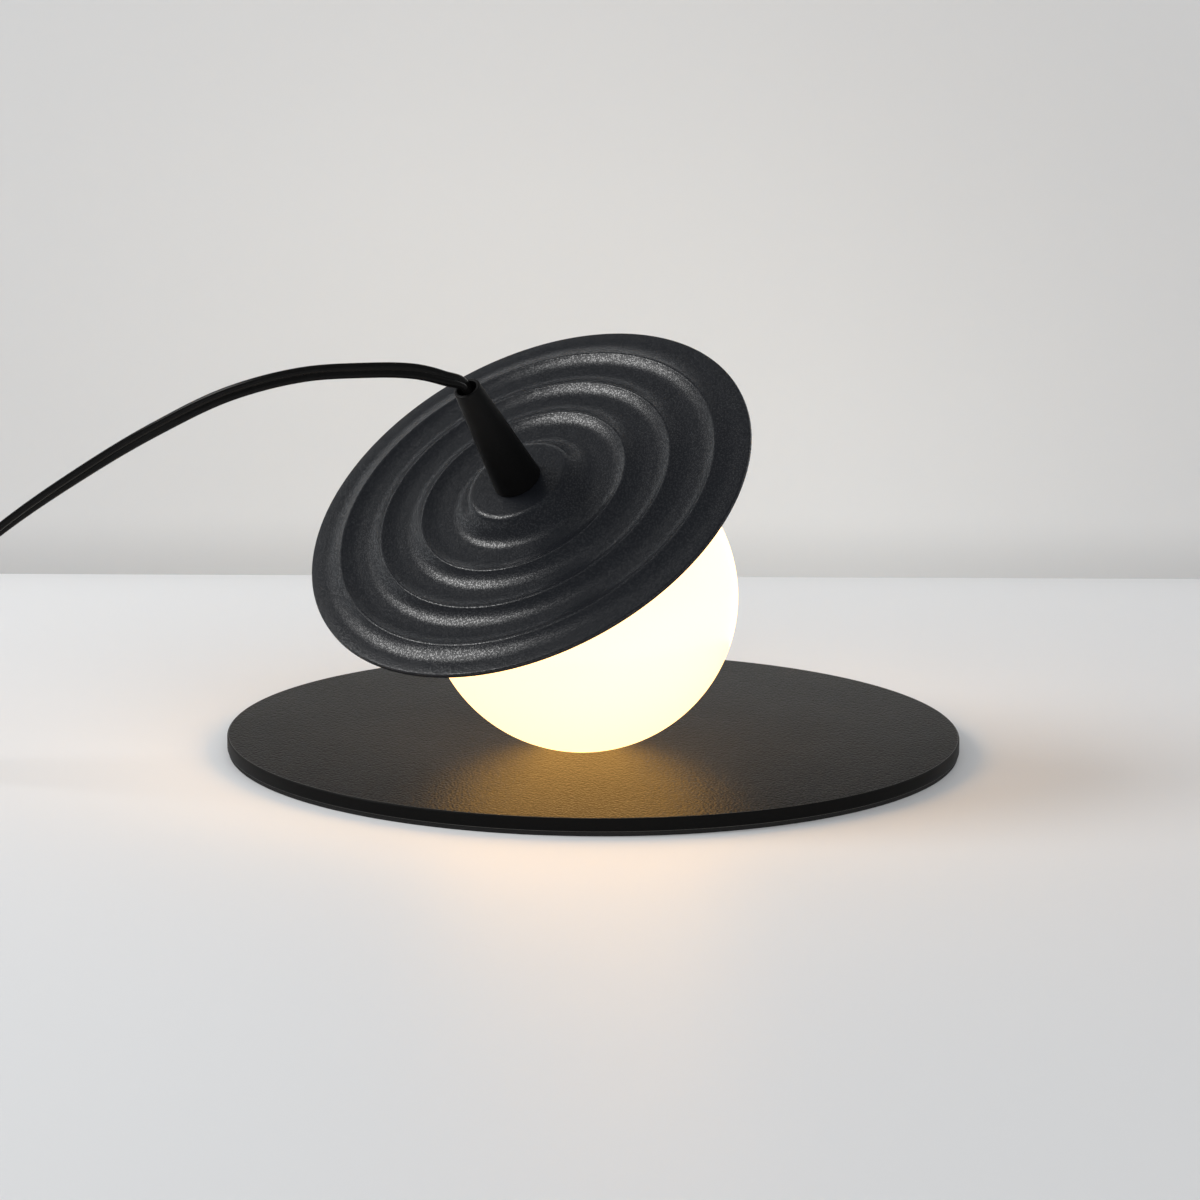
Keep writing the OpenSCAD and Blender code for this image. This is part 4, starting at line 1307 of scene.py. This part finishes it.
@dataclass
class InlineSwitch:
    """The rocker switch in the cord.

    Attributes:
        centre: Place of its middle on the table, in millimetres.
        length: Length along the cord, in millimetres.
        width: Width, in millimetres.
        height: Height of the crowned top, in millimetres.
        split: Height of the joint between its halves, in millimetres.
        crown: Drop of the top towards the edges, in millimetres.
        window: Length and width of the rocker's window, in millimetres.
        pocket: Height of the window's floor, in millimetres.
        axle_z: Height of the rocker's axle, in millimetres.
        rocker: Length and width of the rocker, in millimetres.
        tilt: Tilt of the rocker at rest, in degrees.
        end_steps: Steps round each end.
        seam: Half of the seam between the halves, in millimetres.
        tray_soft: Rounding of the lower half's edges, in millimetres.
        top_soft: Rounding of the upper half's edges, in millimetres.
        window_soft: Rounding of the window's edges, in millimetres.
        cuts: Places of the cuts along and across the top, in millimetres.
        round_from: Height above the window's floor from which edges are rounded, in millimetres.
        level: Largest rise along an edge of the top, in millimetres.
        sharp: Least angle of an edge of the top that is rounded, in degrees.
        key_sharp: Least angle of an edge of the rocker that is rounded, in degrees.
        key_sink: Depth of the rocker's ends below the top, in millimetres.
        key_dish: Pull of the dish in the rocker's face, in millimetres.
        key_side: Height of the rocker's ends, in millimetres.
        key_foot: Half length and height of the rocker's foot, in millimetres.
        key_soft: Rounding of the rocker's edges, in millimetres.
    """

    centre: Point = (-355.0, 63.0)
    length: float = 58.0
    width: float = 20.0
    height: float = 14.0
    split: float = 7.0
    crown: float = 1.6
    window: Point = (18.0, 9.0)
    pocket: float = 7.12
    axle_z: float = 9.6
    rocker: Point = (16.4, 8.4)
    tilt: float = 8.0
    end_steps: int = 24
    seam: float = 0.02
    tray_soft: float = 0.35
    top_soft: float = 1.2
    window_soft: float = 0.3
    cuts: tuple[tuple[float, ...], ...] = (
        (-25, -21, -17, -13, -9, -4, 0, 4, 9, 13, 17, 21, 25), (-8, -6, -4.5, -2, 0, 2, 4.5, 6, 8))
    round_from: float = 2.0
    level: float = 0.5
    sharp: float = 50.0
    key_sharp: float = 35.0
    key_sink: float = 0.8
    key_dish: float = 2.0
    key_side: float = 2.4
    key_foot: Point = (2.0, -2.1)
    key_soft: float = 0.35

    def place(self) -> Matrix:
        """Return the switch's place on the table."""
        return Matrix.Translation(mm(*self.centre, 0.0)) @ Matrix.Rotation(math.radians(90), 4, "Z")

    def slab(self, height: float) -> bmesh.types.BMesh:
        """Build one flat face with round ends.

        Args:
            height: Its height, in millimetres.

        Returns:
            The face's mesh.
        """
        end = (self.length - self.width) / 2
        ring = [*arc_points((end, 0.0), self.width / 2, -90, 90, self.end_steps),
                *arc_points((-end, 0.0), self.width / 2, 90, 270, self.end_steps)]
        mesh = bmesh.new()
        mesh.faces.new([mesh.verts.new(mm(x, y, height)) for x, y in ring])
        return mesh

    def tray(self) -> bmesh.types.BMesh:
        """Build the lower half: a slab drawn up, with softened edges.

        Returns:
            The lower half's mesh.
        """
        mesh = self.slab(0.0)
        draw_out(mesh, mm(0, 0, self.split - self.seam))
        level = [e for e in mesh.edges if abs(e.verts[0].co.z - e.verts[1].co.z) < TINY]
        bevel_edges(mesh, level, self.tray_soft * MM, 2)
        return mesh

    def cover(self) -> bmesh.types.BMesh:
        """Build the upper half: a crowned slab with a window, drawn down to the joint.

        Returns:
            The upper half's mesh.
        """
        mesh = self.slab(self.height)
        half = mm(self.window[0] / 2, self.window[1] / 2)
        for axis, cuts in enumerate(self.cuts):
            normal = Vector((1 - axis, axis, 0))
            for cut in cuts:
                bmesh.ops.bisect_plane(mesh, geom=mesh.verts[:] + mesh.edges[:] + mesh.faces[:],
                                       plane_co=normal * cut * MM, plane_no=normal)
        inside = [f for f in mesh.faces if all(abs(c) < h for c, h in zip(f.calc_center_median(), half))]
        bmesh.ops.delete(mesh, geom=inside, context="FACES")
        for point in mesh.verts:
            drop = max(point.co.x / self.length, point.co.y / self.width, key=abs) * 2 / MM
            point.co.z -= self.crown * MM * drop * drop
        rim = [e for e in mesh.edges if e.is_boundary]
        hole = [e for e in rim if all(abs(c) < h + TINY for v in e.verts for c, h in zip(v.co, half))]
        outer = [e for e in rim if e not in set(hole)]
        for edges, low in ((outer, self.split + self.seam), (hole, self.pocket)):
            points, foot = extrude_rim(mesh, edges)
            for point in points:
                point.co.z = low * MM
            bmesh.ops.contextual_create(mesh, geom=foot)
        face_out(mesh)
        top = [e for e in mesh.edges if e.calc_face_angle(0.0) > math.radians(self.sharp)
               and all(v.co.z > (self.pocket + self.round_from) * MM for v in e.verts)
               and abs(e.verts[0].co.z - e.verts[1].co.z) < self.level * MM]
        near = [e for e in top if all(abs(c) < h + TINY for v in e.verts for c, h in zip(v.co, half))]
        bevel_edges(mesh, near, self.window_soft * MM, 2)
        bevel_edges(mesh, [e for e in top if e.is_valid and e not in set(near)], self.top_soft * MM, 4)
        return mesh

    def key(self) -> bmesh.types.BMesh:
        """Build the rocker: a dished profile drawn across, with softened edges.

        Returns:
            The rocker's mesh.
        """
        half, top = self.rocker[0] / 2, self.height - self.axle_z - self.key_sink
        low, (foot, foot_z) = top - self.key_side, self.key_foot
        outline = [(-half, top), *curve_points((-half, top), (0.0, top - self.key_dish), (half, top), 10),
                   (half, low), (foot, foot_z), (-foot, foot_z), (-half, low)]
        mesh = bmesh.new()
        mesh.faces.new([mesh.verts.new(mm(x, -self.rocker[1] / 2, z)) for x, z in outline])
        draw_out(mesh, mm(0, self.rocker[1], 0))
        sharp = [e for e in mesh.edges if e.calc_face_angle(0.0) > math.radians(self.key_sharp)]
        bevel_edges(mesh, sharp, self.key_soft * MM, 3)
        return mesh

    def build(self) -> None:
        """Build the switch and dress what is inside it."""
        plastic = stock(SWITCH_PLASTIC)
        tray = finish_piece("switch_tray", self.tray(), plastic, Edge.CRISP, self.place())
        settle(tray, Body.LEAD, "switch_plastic", "switch_base")
        cover = finish_piece("switch_lid", self.cover(), plastic, Edge.CRISP, self.place())
        settle(cover, Body.LEAD, "switch_plastic", "switch_cover")
        lift = Matrix.Translation(mm(0, 0, self.axle_z))
        tilt = self.place() @ lift @ Matrix.Rotation(math.radians(self.tilt), 4, "Y")
        key = finish_piece("switch_key", self.key(), stock(ROCKER_PLASTIC), Edge.CRISP, tilt)
        settle(key, Body.ROCKER, "rocker_plastic", "switch_rocker")
        dress(ZINC, "rocker_axle", "switch_screws")
        dress(BRASS, "switch_terminals", "switch_contact")
        dress(CORD_VINYL, "switch_leads")


@dataclass
class Plug:
    """The moulded mains plug.

    Attributes:
        centre: Middle of the body, in millimetres.
        size: Width, length and height of the body, in millimetres.
        soft: Rounding of the body, in millimetres.
        recess_rim: Width of the rim round each finger recess, in millimetres.
        recess: Depth of each finger recess, in millimetres.
        flat: Least upward tilt of a face that gets a recess.
    """

    centre: Triple = (-282.95, 58.0, 7.0)
    size: Triple = (22.0, 28.0, 14.0)
    soft: float = 3.2
    recess_rim: float = 1.6
    recess: float = 0.5
    flat: float = 0.999

    def build(self) -> None:
        """Build the rounded body with a finger recess on each side, and dress the rest."""
        mesh = bmesh.new()
        shape = Matrix.Diagonal(mm(*self.size).to_4d())
        bmesh.ops.create_cube(mesh, size=1.0, matrix=Matrix.Translation(mm(*self.centre)) @ shape)
        bevel_edges(mesh, mesh.edges[:], self.soft * MM, 5)
        face_out(mesh)
        sides = [f for f in mesh.faces if abs(f.normal.z) > self.flat]
        for side in sides:
            bmesh.ops.inset_region(mesh, faces=[side], thickness=self.recess_rim * MM,
                                   depth=-self.recess * MM)
        body = finish_piece("plug_moulded", mesh, stock(PLUG_VINYL), Edge.CRISP)
        settle(body, Body.LEAD, "plug_plastic", "plug_body")
        dress(PLUG_VINYL, "plug_relief")
        dress(BLADE_NICKEL, "plug_blades")


@dataclass(frozen=True)
class SoftLight:
    """A broad soft light that faces the lamp.

    Attributes:
        name: Name of the light.
        way: Direction to the light.
        far: Distance of the light, in metres.
        size: Width and height of the light, in metres.
        power: Power of the light, in watts.
        colour: Colour of the light.
        mirrored: Whether glossy surfaces show the light.
        aim_z: Height of the point that it faces, in millimetres.
    """

    name: str
    way: Triple
    far: float
    size: Point
    power: float
    colour: Colour = (1.0, 1.0, 1.0)
    mirrored: bool = True
    aim_z: float = 80.0

    def build(self) -> None:
        """Place the light."""
        data = bpy.data.lights.new(self.name, "AREA")
        data.shape, data.energy, data.color = "RECTANGLE", self.power, self.colour
        data.size, data.size_y = self.size
        light = bpy.data.objects.new(self.name, data)
        aim = Vector(self.way).normalized()
        light.location = aim * self.far + mm(0, 0, self.aim_z)
        light.rotation_euler = aim.to_track_quat("Z", "Y").to_euler()
        light.visible_glossy = self.mirrored
        bpy.context.scene.collection.objects.link(light)


KEY_LIGHT = SoftLight("key", (-0.76, -0.04, 0.65), 1.8, (0.95, 0.58), 18.5, (1.0, 0.995, 0.985))
FILL_LIGHT = SoftLight("fill", (0.32, -0.87, 0.4), 4.2, (4.6, 4.6), 124.0, mirrored=False)


@dataclass
class Studio:
    """A pale table and wall, and soft studio light.

    Attributes:
        wall_y: Distance of the wall behind the lamp, in metres.
        wall_h: Height of the wall, in metres.
        reach: Half of the stage's width and depth, in metres.
        table: Colour of the table.
        table_edge: Colour of the table further out.
        wall: Colour of the wall behind the lamp, lighter than further out as a painted pool of light.
        wall_painted_dim: Colour of the wall further out, darker as painted shade round that pool.
        fade_z: Height on the wall from which the colours fade, in metres.
        fade: Distances at which the fading starts and ends, in metres.
        cloud: Scale of the surfaces' faint unevenness.
        rough: Lowest and highest roughness of the surfaces.
        specular: Specular level of the surfaces.
        foot: Height of the wall's foot, which is painted darker as shade, in metres.
        foot_painted_shade: Share of its brightness that the wall loses at its foot, as painted shade.
        lights: The studio's lights.
        sky: Strength of the light from all round.
        pale: Colour of the background beyond the stage.
    """

    wall_y: float = 0.34
    wall_h: float = 0.5
    reach: float = 4.0
    table: Colour = (0.75, 0.77, 0.79)
    table_edge: Colour = (0.76, 0.772, 0.788)
    wall: Colour = (0.7, 0.74, 0.765)
    wall_painted_dim: Colour = (0.605, 0.622, 0.635)
    fade_z: float = 0.05
    fade: Point = (0.02, 0.34)
    cloud: float = 9.0
    rough: Point = (0.46, 0.54)
    specular: float = 0.05
    foot: float = 0.03
    foot_painted_shade: float = 0.16
    lights: tuple[SoftLight, ...] = (KEY_LIGHT, FILL_LIGHT)
    sky: float = 0.28
    pale: Colour = (0.7, 0.7, 0.7)

    def matt(self, name: str, colour: Colour, outer: Colour, upright: bool) -> bpy.types.Material:
        """Build a matt surface; an upright one has painted shade at its foot and vanishes when seen from
        behind.

        Args:
            name: Name of the finish.
            colour: Its colour near the lamp.
            outer: Its colour further out.
            upright: Whether it is the wall.

        Returns:
            The material.
        """
        material, graph, place = new_material(name)
        middle = shift(graph, place, (0.0, self.wall_y, self.fade_z))
        fade = FADE.place(graph, middle, Near=self.fade[0], Far=self.fade[1], Scale=self.cloud)
        # On the wall this paints a pool of light: lighter near the lamp, darker further out.
        tone = graph.mix(fade.outputs["Share"], (*outer, 1.0), (*colour, 1.0))
        if upright:
            # Painted shade: the wall is darkened towards its foot.
            height = graph.add("SeparateXYZ", {0: place}).outputs["Z"]
            low = graph.add("MapRange", {"Value": height, "From Min": 0.0, "From Max": self.foot,
                                         "To Min": self.foot_painted_shade, "To Max": 0.0},
                            interpolation_type="SMOOTHSTEP")
            tone = graph.mix(low.outputs["Result"], tone, (0.0, 0.0, 0.0, 1.0))
        shader = graph.add("BsdfPrincipled", {
            "Base Color": tone, "Specular IOR Level": self.specular,
            "Roughness": graph.span(fade.outputs["Cloud"], *self.rough)})
        if upright:
            clear = graph.add("BsdfTransparent")
            back = graph.add("NewGeometry").outputs["Backfacing"]
            shader = graph.add("MixShader", {0: back, 1: shader.outputs[0], 2: clear.outputs[0]})
        close_material(graph, shader)
        return material

    def sheet(self, name: str, corners: Sequence[Triple], material: bpy.types.Material) -> None:
        """Build one flat stage sheet.

        Args:
            name: Name of the sheet.
            corners: Its corners, in metres.
            material: Its finish.
        """
        mesh = bmesh.new()
        mesh.faces.new([mesh.verts.new(c) for c in corners])
        finish_piece(name, mesh, material, Edge.SOFT)

    def build(self) -> None:
        """Build the stage, the lights and the world."""
        x, y, z = self.reach, self.wall_y, self.wall_h
        self.sheet("table_top", ((-x, -x, 0), (x, -x, 0), (x, x, 0), (-x, x, 0)),
                   self.matt("table_matt", self.table, self.table_edge, False))
        self.sheet("wall", ((-x, y, 0), (x, y, 0), (x, y, z), (-x, y, z)),
                   self.matt("wall_matt", self.wall, self.wall_painted_dim, True))
        for light in self.lights:
            light.build()
        world = bpy.data.worlds.new("studio")
        bpy.context.scene.world = world
        world.use_nodes = True
        graph = Graph(world.node_tree)
        seen = graph.add("LightPath").outputs["Is Camera Ray"]
        soft = graph.add("Background", {"Color": (1.0, 1.0, 1.0, 1.0), "Strength": self.sky})
        pale = graph.add("Background", {"Color": (*self.pale, 1.0), "Strength": 1.0})
        both = graph.add("MixShader", {0: seen, 1: soft.outputs[0], 2: pale.outputs[0]})
        graph.add("OutputWorld", {"Surface": both.outputs[0]})


def main() -> None:
    """Build the lamp and its stage in order."""
    logging.basicConfig(level=logging.INFO)
    bpy.context.scene.view_settings.view_transform = "Standard"
    Viewpoint().build()
    cords = (CordArch(), CordCoil())
    for assembly in (*cords, BasePlate(), Globe(), RippleShade(), CordCone(), Fitting(), InlineSwitch(),
                     Plug(), Studio()):
        assembly.build()
        LOG.info("finished %s", type(assembly).__name__)
    for cord in cords:
        cord.declare()


if __name__ == "__main__":
    main()
